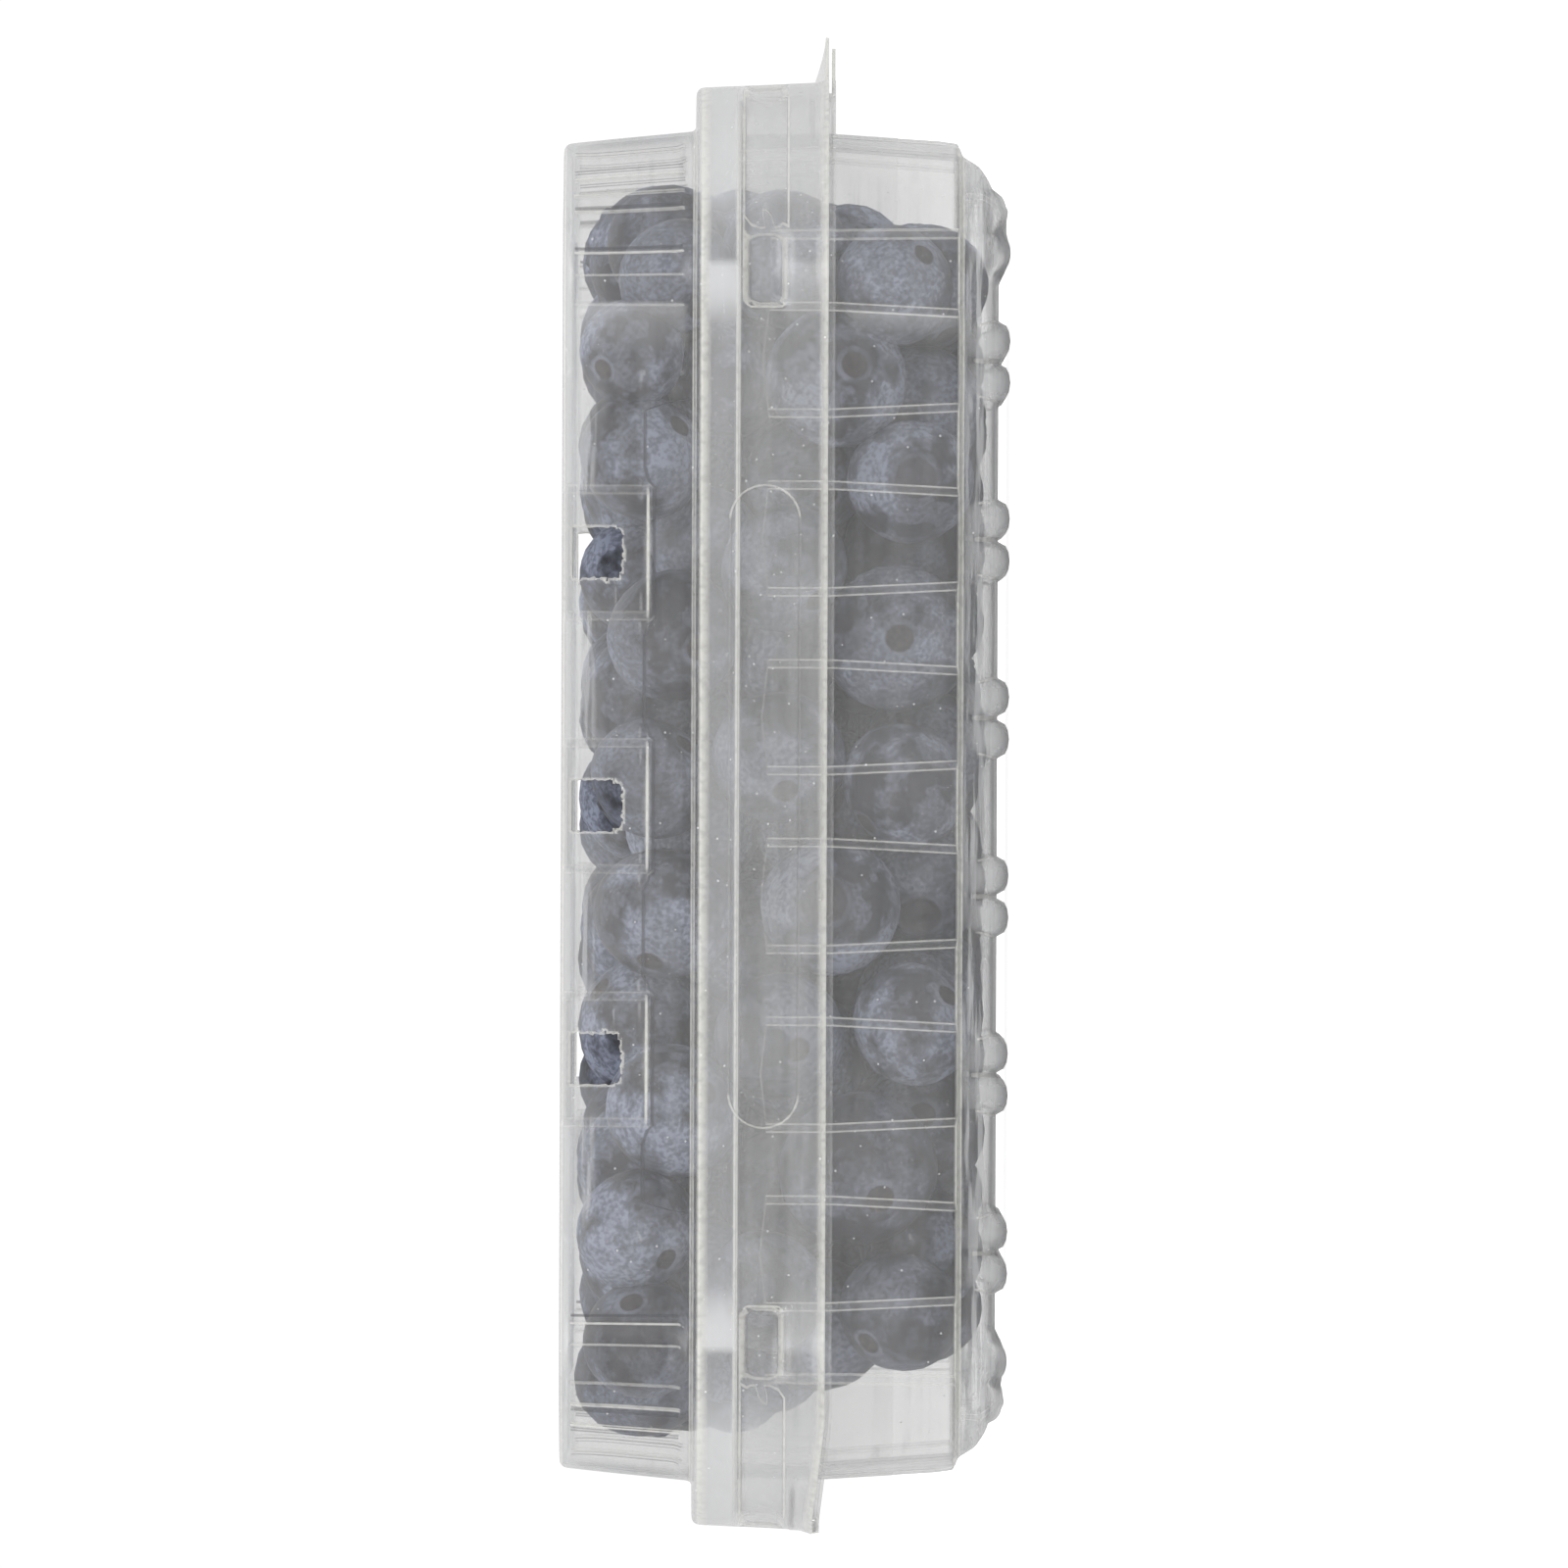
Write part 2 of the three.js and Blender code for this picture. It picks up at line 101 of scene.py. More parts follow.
def soft_lamp(name, place, size, power):
    data = bpy.data.lights.new(name, "AREA")
    data.shape = "ELLIPSE"
    data.size = data.size_y = size
    data.energy = power
    lamp = bpy.data.objects.new(name, data)
    bpy.context.collection.objects.link(lamp)
    lamp.location = place
    direction = Vector(LAMP_AIM) - lamp.location
    lamp.rotation_euler = direction.to_track_quat("-Z", "Y").to_euler()


soft_lamp("tab_side_lamp", (0.62, -1.35, 0.8), 0.7, 2.5)
soft_lamp("hinge_side_lamp", (-0.62, -1.35, 0.8), 0.7, 2.5)
soft_lamp("top_lamp", (0.1, 0.5, 1.3), 1.2, 3)

floor_mesh = bpy.data.meshes.new("floor")
half = FLOOR_SIZE / 2
floor_corners = [(-half, -half, 0), (half, -half, 0), (half, half, 0), (-half, half, 0)]
floor_mesh.from_pydata(floor_corners, [], [(0, 1, 2, 3)])
floor = bpy.data.objects.new("floor", floor_mesh)
bpy.context.collection.objects.link(floor)
floor_material = bpy.data.materials.new("white_floor")
floor_material.use_nodes = True
floor_shader = floor_material.node_tree.nodes["Principled BSDF"]
floor_shader.inputs["Base Color"].default_value = FLOOR_GREY
floor_shader.inputs["Roughness"].default_value = 0.9
floor_shader.inputs["Emission Color"].default_value = (1, 1, 1, 1)
floor_tree = floor_material.node_tree
floor_tree.links.new(backdrop_strength(floor_tree, *FLOOR_LEVELS), floor_shader.inputs["Emission Strength"])
floor_mesh.materials.append(floor_material)

# --- Base tray --------------------------
# The lower half: one clear sheet drawn down into a ribbed floor, fluted sides, a raised rim
# that the lid's skirt goes over, and a flange all round.
MM = 0.001
BODY_X = -2.85
CORNER_X = 64.0
CORNER_Y = 31.95
SHEET = 0.4
NO_LINE = 9.0
TURN_REACH = 24.0
TURN_END = CORNER_X + TURN_REACH * math.pi / 2
END_MID = TURN_END + CORNER_Y
FLANGE_TOP = 22.7
HINGE_RISE = 1.5
HINGE_RUN = (78, 90)
PANELS = ((11.25, 6.15), (33.75, 6.15), (56.25, 6.15), (82.85, 8.8), (END_MID - 11.25, 6.15))
FOLD_RADIUS = 2
PANEL_STEP = 0.9
PANEL_SLOPE = 1.15
PANEL_LEAN = 0.05
PANEL_FOOT = 6.3
FLOOR_Z = 1.5
FOOT_REACH = 19.0
FOOT_TOP = 5.6
WALL_REACH = 23.0
FLANGE_REACH = 25.5
BASE_HAZE = 0.06
RIB_CENTRES = (8.6, 13.9, 31.1, 36.4, 53.6, 58.9, 70.0, 75.2)
STRAIGHT_RIBS = RIB_CENTRES[:6]
RIB_PROUD = 1.5
RIB_HALF = 2.45


class Shade:
    """A value in a material's node tree, so that node maths reads as Python."""

    def __init__(self, tree, socket):
        self.tree = tree
        self.socket = socket

    def node(self, kind, settings=None, values=None, out=0):
        made = self.tree.nodes.new(kind)
        for key, value in (settings or {}).items():
            setattr(made, key, value)
        for key, value in (values or {}).items():
            if isinstance(value, Shade):
                self.tree.links.new(value.socket, made.inputs[key])
            else:
                made.inputs[key].default_value = value
        return Shade(self.tree, made.outputs[out])

    def maths(self, operation, *values):
        return self.node("ShaderNodeMath", {"operation": operation}, dict(enumerate(values)))

    def __add__(self, other):
        return self.maths("ADD", self, other)

    def __sub__(self, other):
        return self.maths("SUBTRACT", self, other)

    def __rsub__(self, other):
        return self.maths("SUBTRACT", other, self)

    def __mul__(self, other):
        return self.maths("MULTIPLY", self, other)

    def __abs__(self):
        return self.maths("ABSOLUTE", self)

    __radd__ = __add__
    __rmul__ = __mul__

    def power(self, exponent):
        return self.maths("POWER", self, exponent)

    def larger(self, other):
        return self.maths("MAXIMUM", self, other)

    def smaller(self, other):
        return self.maths("MINIMUM", self, other)

    def ramp(self, low, high, to_low=0.0, to_high=1.0):
        """A smooth step from to_low where this is low to to_high where it is high."""
        ends = {"From Min": low, "From Max": high, "To Min": to_low, "To Max": to_high}
        return self.node("ShaderNodeMapRange", {"interpolation_type": "SMOOTHSTEP"}, {"Value": self, **ends})

    def mixed(self, first, second):
        """The first colour where this is 0, the second where it is 1."""
        made = self.node("ShaderNodeMix", {"data_type": "RGBA"}, {"Factor": self})
        mix = made.socket.node
        for key, value in ((6, first), (7, second)):
            if isinstance(value, Shade):
                self.tree.links.new(value.socket, mix.inputs[key])
            else:
                mix.inputs[key].default_value = (*value, 1)
        return Shade(self.tree, mix.outputs[2])


def new_material(name):
    material = bpy.data.materials.new(name)
    material.use_nodes = True
    tree = material.node_tree
    tree.nodes.clear()
    output = tree.nodes.new("ShaderNodeOutputMaterial")
    return material, Shade(tree, None), output.inputs["Surface"]


def noise(start, scale, detail=2.0, stretch=(1, 1, 1)):
    place = start.node("ShaderNodeTexCoord", out=3)
    spread = start.node("ShaderNodeMapping", {}, {"Vector": place, "Scale": stretch})
    return start.node("ShaderNodeTexNoise", {}, {"Vector": spread, "Scale": scale, "Detail": detail})


def measure(start, name):
    return start.node("ShaderNodeAttribute", {"attribute_name": name}, out=2)


def clear_sheet(name, haze):
    """Clear drawn plastic: faintly milky, grey where it is seen edge on, with long drawing streaks
    that are partly painted reflections, dust and scratches, pale lines along its folds that are
    painted highlights, and painted shade beside the folds and in its creases. The mesh's gap
    attributes say how many mm a point is from a fold, and its other attributes how much painted
    reflection streak, whitening and painted highlight, and painted light and shade it has."""
    material, start, surface = new_material(name)
    place = start.node("ShaderNodeTexCoord", out=3)
    fold = measure(start, "fold_gap")
    flute = abs(measure(start, "flute_gap"))
    emboss = measure(start, "emboss_gap")
    crease = abs(measure(start, "crease_gap"))
    reflection_streaks = measure(start, "reflection_streaks")
    streak = noise(start, 520, 3, (0.05, 0.05, 1))
    thread = noise(start, 1500, 2, (0.06, 0.06, 1))
    cloud = noise(start, 70, 3)
    ragged = noise(start, 900, 2)
    scratch = noise(start, 300, 1, (0.12, 1, 2.5))
    speck = start.node("ShaderNodeTexVoronoi", {}, {"Vector": place, "Scale": 330.0})
    grit = start.node("ShaderNodeTexVoronoi", {}, {"Vector": place, "Scale": 900.0})
    # Painted highlights: pale lines along folds, flutes and embossed edges, and the whitening and painted
    # highlight of edges and the hinge, broken here and there.
    line = fold.ramp(0.24, 0.08) * measure(start, "fold_highlight")
    line = line.larger(abs(flute - 0.5).ramp(0.17, 0.05) * measure(start, "flute_highlight"))
    line = line.larger(abs(emboss).ramp(0.2, 0.06) * measure(start, "emboss_highlight"))
    line = line.larger(measure(start, "whitening_and_highlight")) * ragged.ramp(0.3, 0.6, 0.7, 1.0)
    # Milkiness, dust and hair scratches, and painted light: a faint painted glow along the flute edges,
    # bright threads of painted reflection where the reflection streaks go, and painted light and shade added
    # to the milkiness.
    dust = speck.ramp(0.06, 0.035).larger(grit.ramp(0.07, 0.04) * cloud.ramp(0.5, 0.6))
    painted_glow = flute.ramp(0.5, 0.3) * 0.05 + reflection_streaks * thread.ramp(0.42, 0.6, 0.12, 0.72)
    milk = cloud.ramp(0.3, 0.7, 0.75, 1.25) * streak.ramp(0.3, 0.7, 0.8, 1.2) * haze
    milk = milk + measure(start, "painted_light_and_shade")
    milk = milk + abs(scratch - 0.5).ramp(0.006, 0.001) * ragged.ramp(0.55, 0.65) * 0.12
    white = (milk + line + painted_glow + dust * 0.55).smaller(0.85)
    # Painted shade: dark flanks of the folds and embossed edges, and dark creases; and dark streaks, partly
    # drawing streaks and partly painted reflection.
    dark = fold.ramp(0.6, 0.3) * 0.05 + abs(emboss + 0.1).ramp(0.25, 0.05) * 0.10
    dark = dark + streak.ramp(0.56, 0.74) * cloud.ramp(0.45, 0.65) * 0.08
    dark = dark + reflection_streaks * streak.ramp(0.5, 0.62) * 0.32 + crease.ramp(0.3, 0.1) * 0.42
    veil = (white + dark).smaller(0.92)
    cream = start.maths("DIVIDE", line, white + 0.001).mixed((0.90, 0.905, 0.915), (0.88, 0.875, 0.82))
    tone = start.maths("DIVIDE", dark, veil + 0.001).mixed(cream, (0.03, 0.03, 0.04))
    height = streak + cloud * 2
    bump = start.node("ShaderNodeBump", {}, {"Strength": 0.15, "Distance": 0.0002, "Height": height})
    facing = start.node("ShaderNodeLayerWeight", {}, {"Blend": 0.5, "Normal": bump}, out=1)
    see = start.node("ShaderNodeBsdfTransparent", {}, {"Color": (0.992, 0.992, 0.99, 1)})
    skin = {"Base Color": tone, "Roughness": 0.4, "Normal": bump}
    body = start.node("ShaderNodeBsdfPrincipled", {}, skin)
    mixed = start.node("ShaderNodeMixShader", {}, {0: veil, 1: see, 2: body})
    gloss = {"Color": (1, 1, 1, 1), "Roughness": 0.22, "Normal": bump}
    shine = start.node("ShaderNodeBsdfGlossy", {}, gloss)
    glance = facing.power(5.0) * 0.6 + 0.04
    whole = start.node("ShaderNodeMixShader", {}, {0: glance, 1: mixed, 2: shine})
    # Shadow rays pass straight through, a little dimmed.
    shade = start.node("ShaderNodeBsdfTransparent", {}, {"Color": (0.92, 0.92, 0.92, 1)})
    in_shadow = start.node("ShaderNodeLightPath", out=1)
    whole = start.node("ShaderNodeMixShader", {}, {0: in_shadow, 1: whole, 2: shade})
    start.tree.links.new(whole.socket, surface)
    return material


def smooth(low, high, value):
    t = np.clip((value - low) / (high - low), 0, 1)
    return t * t * (3 - 2 * t)


def filleted(corners, radii, steps=4):
    """A [reach, height] path with its inner corners rounded, and the rows that are folds."""
    corners = np.array(corners, float)
    path = [corners[0]]
    folds = []
    for before, corner, after, radius in zip(corners, corners[1:], corners[2:], radii):
        a = before - corner
        b = after - corner
        la = np.linalg.norm(a)
        lb = np.linalg.norm(b)
        a, b = a / la, b / lb
        half_angle = math.acos(np.clip(a @ b, -1, 1)) / 2
        run = min(radius / math.tan(half_angle), la * 0.48, lb * 0.48)
        t = np.linspace(0, 1, steps + 1)[:, None]
        if radius < FOLD_RADIUS:
            folds.append(len(path) + steps // 2)
        start = corner + a * run
        end = corner + b * run
        path.extend((1 - t) ** 2 * start + 2 * t * (1 - t) * corner + t ** 2 * end)
    path.append(corners[-1])
    path = np.array(path)
    return path, path[folds]


def densified(path, step):
    """Extra points wherever a stretch is longer than step(reach, height)."""
    points = [path[0]]
    for before, after in zip(path, path[1:]):
        pieces = max(1, math.ceil(np.linalg.norm(after - before) / step(*((before + after) / 2))))
        points.extend(before + (after - before) * (i + 1) / pieces for i in range(pieces))
    return np.array(points)


def fold_distance(path, folds):
    """How far each row of a path is, along the sheet, from the nearest fold."""
    lengths = np.concatenate([[0], np.cumsum(np.linalg.norm(np.diff(path, axis=0), axis=1))])
    marks = [lengths[np.argmin(np.linalg.norm(path - fold, axis=1))] for fold in folds]
    return np.min(np.abs(lengths[:, None] - np.array(marks)[None]), axis=1)


def outward_normals(path, hand):
    run = np.diff(path, axis=0)
    run /= np.linalg.norm(run, axis=1)[:, None]
    mean = np.vstack([run[:1], run[:-1] + run[1:], run[-1:]])
    mean /= np.linalg.norm(mean, axis=1)[:, None]
    return np.stack([mean[:, 1], -mean[:, 0]], axis=1) * hand


def outline_loop(fine, coarse=3.4, turn_steps=16):
    """Marks once round the outline, each folded into one quarter, with the quarter's signs."""
    marks = set(np.linspace(0, CORNER_X, int(CORNER_X / coarse) + 1))
    marks |= set(np.linspace(CORNER_X, TURN_END, turn_steps + 1))
    marks |= set(np.linspace(TURN_END, END_MID, int(CORNER_Y / coarse) + 1))
    anchors = (0, CORNER_X, TURN_END, END_MID)
    wanted = sorted(m for m in fine if 0.1 < m < END_MID - 0.1)
    spare = [m for m in marks
             if min(abs(m - a) for a in anchors) < 1e-6 or min(abs(m - w) for w in wanted) > 0.55]
    tidy = []
    for mark in sorted(spare + wanted):
        if not tidy or mark - tidy[-1] > 0.09:
            tidy.append(mark)
        elif min(abs(mark - a) for a in anchors) < 1e-6:
            tidy[-1] = mark
    tidy = np.array(tidy)
    around = []
    for x_sign, y_sign in ((1, -1), (1, 1), (-1, 1), (-1, -1)):
        part = tidy if x_sign * y_sign < 0 else tidy[::-1]
        around.append(np.stack([part, part * 0 + x_sign, part * 0 + y_sign], axis=1)[:-1])
    return np.vstack(around).T


def hinge_lift(x, reach, height):
    """How far the flange and the lip rise towards the hinge end."""
    near = (reach > 24.5) & (height < 26)
    run = (-x - HINGE_RUN[0]) / (HINGE_RUN[1] - HINGE_RUN[0])
    return np.where(near, HINGE_RISE * np.clip(run, 0, 1), 0)


def drawn_sheet(loop, along, reach, height, normal_reach, normal_height, relief):
    """Vertex grids of a sheet's outer and inner face; relief is how far it stands out, in mm."""
    _, x_sign, y_sign = loop[:, None, :]
    turn = np.clip((along - CORNER_X) / TURN_REACH, 0, math.pi / 2)
    x0 = x_sign * np.minimum(along, CORNER_X)
    y0 = y_sign * (CORNER_Y - np.maximum(along - TURN_END, 0))
    push = relief(along, x0 + x_sign * np.sin(turn) * reach, reach, height)
    grids = []
    for depth in (0, SHEET):
        r = reach + normal_reach * (push - depth)
        h = height + normal_height * (push - depth)
        x = x0 + x_sign * np.sin(turn) * r
        y = y0 + y_sign * np.cos(turn) * r
        grids.append(np.stack([x + BODY_X, y, h + hinge_lift(x, reach, height)], axis=2))
    return grids


def sheet_mesh(name, first, second, extra, holes=None, marks=None):
    """A closed mesh over two faces of a sheet. holes marks the cells punched right through, extra
    closes the start of the sheet, and marks are the attributes of each face's vertices."""
    levels, count = first.shape[:2]
    verts = np.vstack([first.reshape(-1, 3), second.reshape(-1, 3)])
    index = np.arange(levels * count).reshape(levels, count)
    other = index + levels * count
    holes = np.zeros((levels - 1, count), bool) if holes is None else holes
    i, j = np.nonzero(~holes)
    k = (j + 1) % count
    rim = np.arange(count)
    nxt = (rim + 1) % count
    quads = [np.stack([index[i, j], index[i, k], index[i + 1, k], index[i + 1, j]], axis=1),
             np.stack([other[i, j], other[i + 1, j], other[i + 1, k], other[i, k]], axis=1),
             np.stack([index[-1, rim], index[-1, nxt], other[-1, nxt], other[-1, rim]], axis=1)]
    walls = []
    for a, b in zip(*np.nonzero(holes)):
        c = (b + 1) % count
        for near, ends in (((a - 1, b), ((a, b), (a, c))), ((a + 1, b), ((a + 1, c), (a + 1, b))),
                           ((a, (b - 1) % count), ((a + 1, b), (a, b))), ((a, c), ((a, c), (a + 1, c)))):
            if not holes[near]:
                walls.append((index[ends[0]], other[ends[0]], other[ends[1]], index[ends[1]]))
    if walls:
        quads.append(np.array(walls))
    more_verts, more_faces = extra(len(verts), index[0], other[0])
    mesh = bpy.data.meshes.new(name)
    faces = np.vstack(quads).tolist() + more_faces
    mesh.from_pydata((np.vstack([verts, more_verts]) * MM).tolist(), [], faces)
    for key, grid in marks.items():
        values = np.full(len(mesh.vertices), NO_LINE if key.endswith("gap") else 0.0, np.float32)
        values[:2 * levels * count] = np.tile(np.broadcast_to(grid, (levels, count)).ravel(), 2)
        mesh.attributes.new(key, "FLOAT", "POINT").data.foreach_set("value", values)
    welder = bmesh.new()
    welder.from_mesh(mesh)
    bmesh.ops.remove_doubles(welder, verts=welder.verts, dist=2e-6)
    loose = [v for v in welder.verts if not v.link_faces]
    bmesh.ops.delete(welder, geom=loose, context="VERTS")
    welder.to_mesh(mesh)
    welder.free()
    return mesh


def finished_piece(name, mesh, material, body, replaced=None):
    mesh.materials.append(material)
    mesh.shade_smooth()
    piece = bpy.data.objects.new(name, mesh)
    bpy.context.collection.objects.link(piece)
    if replaced:
        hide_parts(replaced)
    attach(piece, body)


def panel_gap(along):
    """Signed distance from the middle of the nearest panel edge."""
    gaps = np.stack([np.abs(along - centre) - half - PANEL_SLOPE / 2 for centre, half in PANELS])
    return np.take_along_axis(gaps, np.argmin(np.abs(gaps), axis=0)[None], axis=0)[0]


def rib_height(x):
    rib = 0
    for centre in RIB_CENTRES:
        t = np.clip(np.abs(np.abs(x) - centre) / RIB_HALF, 0, 1)
        rib = np.maximum(rib, np.sqrt(1 - t * t))
    return RIB_PROUD * rib


def rib_gap(along):
    """Distance from the nearest side of a foot rib, where the outline runs straight."""
    gaps = [np.abs(np.abs(along - centre) - RIB_HALF) for centre in STRAIGHT_RIBS]
    return np.where(along < CORNER_X, np.min(gaps, axis=0), NO_LINE)


def base_relief(along, x, reach, height):
    """Proud panels on the wall, which flatten above the rim's root, and proud ribs on the foot."""
    wall = smooth(PANEL_FOOT, PANEL_FOOT + 0.7, height) * (1 - smooth(30.0, 32.4, height))
    wall = wall * (reach < WALL_REACH) * (1 - 0.35 * smooth(26.2, 26.8, height))
    panel = 1 - smooth(-PANEL_SLOPE / 2, PANEL_SLOPE / 2, base_gap)
    foot = (1 - smooth(FOOT_TOP - 1, FOOT_TOP, height)) * (reach < FOOT_REACH)
    return PANEL_STEP * panel * wall + rib_height(x) * foot


across_edge = (-0.12, 0.12, 0.42, 0.74, 1.03, 1.27)
across_rib = (-RIB_HALF, -1.9, -1.1, 0, 1.1, 1.9, RIB_HALF)
edge_marks = [c + s * (half + e) for c, half in PANELS for s in (-1, 1) for e in across_edge]
rib_marks = [c + s for c in STRAIGHT_RIBS for s in across_rib]
base_loop = outline_loop(edge_marks + rib_marks)
base_corners = [(0, FLOOR_Z), (9, FLOOR_Z), (14.6, 2.3), (17.0, 3.9), (18.3, 6.0), (19.5, 6.5), (20.5, 22.1),
                (21.1, 34.4), (25.0, 34.4), (25.9, 22.15), (27.9, 22.15)]
base_path, base_folds = filleted(base_corners, (6, 6, 3, 0.35, 0.5, 30, 0.9, 0.9, 0.4))
base_path = densified(base_path, lambda reach, height: 1.1 if height > 24 and reach < WALL_REACH else 2.4)
base_out = outward_normals(base_path, 1)
reach_grid, height_grid = (np.repeat(base_path[:, i:i + 1], base_loop.shape[1], axis=1) for i in (0, 1))
base_gap = np.repeat(panel_gap(base_loop[0])[None], len(base_path), axis=0)
lean_ends = (-0.2, PANEL_SLOPE + 0.2)
lean_marks = [(c + s * (half + e), s) for c, half in PANELS for s in (-1, 1) for e in lean_ends]
lean_marks = sorted(lean_marks + [(0, 0), (END_MID, 0)])
lean = np.interp(base_loop[0], [m for m, _ in lean_marks], [s for _, s in lean_marks])
lean_drop = np.clip(FLANGE_TOP - height_grid, 0, 17) * (reach_grid < 22) * smooth(1.6, 5.5, height_grid)
along_grid = base_loop[0] - lean * PANEL_LEAN * lean_drop
base_outer, base_inner = drawn_sheet(base_loop, along_grid, reach_grid, height_grid,
                                     base_out[:, :1], base_out[:, 1:], base_relief)


def floor_sheet(first_index, outer, inner):
    """The floor inside the corner centres, which the foot ribs cross, as a grid for each face."""
    straight = base_loop[0][base_loop[0] <= CORNER_X + 1e-6]
    end = END_MID - base_loop[0][base_loop[0] >= TURN_END - 1e-6]
    x_marks = sorted({round(mark * s, 6) for mark in straight for s in (-1, 1)})
    y_marks = sorted({round(mark * s, 6) for mark in end for s in (-1, 1)})
    xs, ys = np.meshgrid(x_marks, y_marks, indexing="ij")
    verts, faces = [], []
    for side, flip in ((0.0, False), (SHEET, True)):
        start = first_index + len(verts)
        heights = FLOOR_Z + side - rib_height(xs)
        verts.extend(zip((xs + BODY_X).ravel(), ys.ravel(), heights.ravel()))
        for i in range(len(x_marks) - 1):
            for j in range(len(y_marks) - 1):
                a = start + i * len(y_marks) + j
                quad = (a, a + 1, a + 1 + len(y_marks), a + len(y_marks))
                faces.append(quad[::-1] if flip else quad)
    return verts, faces


on_panel = (height_grid > PANEL_FOOT) & (height_grid < 31.5) & (reach_grid < WALL_REACH)
flute_mask = np.where(on_panel, 0, NO_LINE)
row_reach, row_height = base_path[:, :1], base_path[:, 1:]
every_row = np.ones((len(base_path), 1))
on_foot = (row_height < FOOT_TOP) & (row_reach < FOOT_REACH)
ribbed = rib_height(base_loop[0] * (base_loop[0] < CORNER_X))[None] / RIB_PROUD * on_foot
# A painted sheen: a painted reflection on the long walls just before the tab end's corners.
painted_sheen = (base_loop[1] > 0) * (base_loop[0] < 62.6) * np.clip(1 - (62.6 - base_loop[0]) / 5, 0, 1) ** 2
painted_sheen = 0.14 * painted_sheen[None] * (row_height > PANEL_FOOT) * (row_height < 21) * (row_reach < WALL_REACH)
rim_or_foot = np.where((row_height > 33) | (row_height < 8), 0.7, 0.5)
# Painted reflection streaks on the sides of the foot.
foot_reflection_streaks = smooth(2.2, 3.2, row_height) * (1 - smooth(5.4, 6.2, row_height)) * (row_reach < 19.5)
base_marks = {
    "fold_gap": fold_distance(base_path, base_folds)[:, None],
    "fold_highlight": np.where((row_reach > FLANGE_REACH) & (row_height < 23), 0.06, rim_or_foot),
    "flute_gap": base_gap + flute_mask,
    "flute_highlight": every_row * 0.32,
    "emboss_gap": np.where(on_foot, rib_gap(base_loop[0])[None], NO_LINE),
    "emboss_highlight": every_row * 0.4,
    "crease_gap": every_row * NO_LINE,
    # Painted light: lighter at the bottom of the foot and on the foot ribs, with the painted sheen.
    "painted_light_and_shade": 0.14 * (1 - smooth(2.0, 2.6, row_height)) * (row_reach < FOOT_REACH) + 0.22 * ribbed + painted_sheen,
    "reflection_streaks": (0.6 - 0.5 * ribbed) * foot_reflection_streaks,
    "whitening_and_highlight": every_row * 0,
}
base_mesh = sheet_mesh("base_sheet", base_outer, base_inner, floor_sheet, marks=base_marks)
base_plastic = clear_sheet("clear_base_sheet", BASE_HAZE)
finished_piece("base_tray", base_mesh, base_plastic, "base", "base")

# --- Blueberries ------------------------
# About 200 ripe berries poured in and pressed by the lid. Each is a slightly flat ball with a
# five-lobed crown at one pole, a stem scar at the other, and a pale waxy bloom on dark skin.
BERRY_COUNT = 200
BERRY_RADII = (7.2, 9.4)
HEAP_FLOOR = 2.8
HEAP_TOP = 54.7
# Room inside the closed pack: height and the walls' reach, then height and both ends' x.
CAVITY = np.array([(1.9, 6.8), (2.6, 11.6), (4.3, 14.9), (6.4, 16.8), (8, 17.9), (22, 19.1),
                   (40, 19.5), (44, 19.1), (46.5, 17.5), (55.5, 16.9)])
HEAP_ENDS = np.array([(5, -71, 72), (20, -72, 77), (35, -80.5, 79), (55, -80.5, 79)])
POUR_LOW = (-74, -30, 8)
POUR_SPAN = (148, 74, 40)
HEAP_SEED = 20817
DRAW_FACTOR = 16807
DRAW_MODULUS = 2147483647
SETTLE_STEPS = 500
PUSH_APART = 0.27
SINK = 0.05
LOOKS_SEED = 5
DARK_SKIN = (0.007, 0.007, 0.012)
PALE_BLOOM = (0.34, 0.37, 0.48)
# Berries that lie against the near wall: x, height, radius, where the crown points, and bloom.
AGAINST_WALL = [
    (66.6, 42.6, 7.6, (0.6, 0.5, 0.4), 0.6), (54.6, 47.4, 6.9, (0.3, 0.6, -0.5), 0.9),
    (41.7, 46.6, 8.2, (-0.5, 0.5, 0.6), 1.0), (18.6, 42.3, 8.4, (0.2, 0.8, 0.4), 0.6),
    (0.5, 45, 8, (-0.6, 0.4, 0.6), 0.55), (-16.4, 43.4, 9, (0.7, 0.5, -0.2), 0.9),
    (-41.4, 42.4, 8.8, (-0.3, 0.7, 0.5), 1.0), (-56.6, 47.4, 8, (0.5, 0.6, 0.5), 1.0),
    (-75.4, 45.9, 7.8, (-0.6, 0.6, -0.2), 0.5), (51.5, 21.5, 8.8, (-0.2, 0.9, 0.3), 1.1),
    (38.6, 12.7, 8, (0.05, -1, -0.1), 1.1), (18.6, 14.6, 9.6, (0.0, 0.99, 0.04), 0.75),
    (-0.1, 13.4, 8.2, (0.6, 0.3, -0.6), 1.1), (-15.4, 22.4, 8.8, (0.1, -0.93, 0.1), 1.1),
    (-30.2, 12.1, 7.9, (-0.5, 0.5, 0.6), 1.1), (-48.9, 18.8, 10.2, (0.4, 0.8, 0.3), 0.6),
    (65, 15.2, 7.8, (-0.5, 0.55, 0.5), 0.8), (-66.4, 13.6, 7.8, (0.5, 0.5, -0.5), 0.5),
    (27, 28.5, 8.4, (0.5, 0.5, 0.5), 0.7), (-32, 29, 8.2, (0.2, 0.8, 0.3), 0.7),
    (-64, 30.5, 8, (0.4, 0.6, -0.5), 0.7), (3.5, 29, 8.6, (0.5, 0.7, 0.1), 0.7),
]


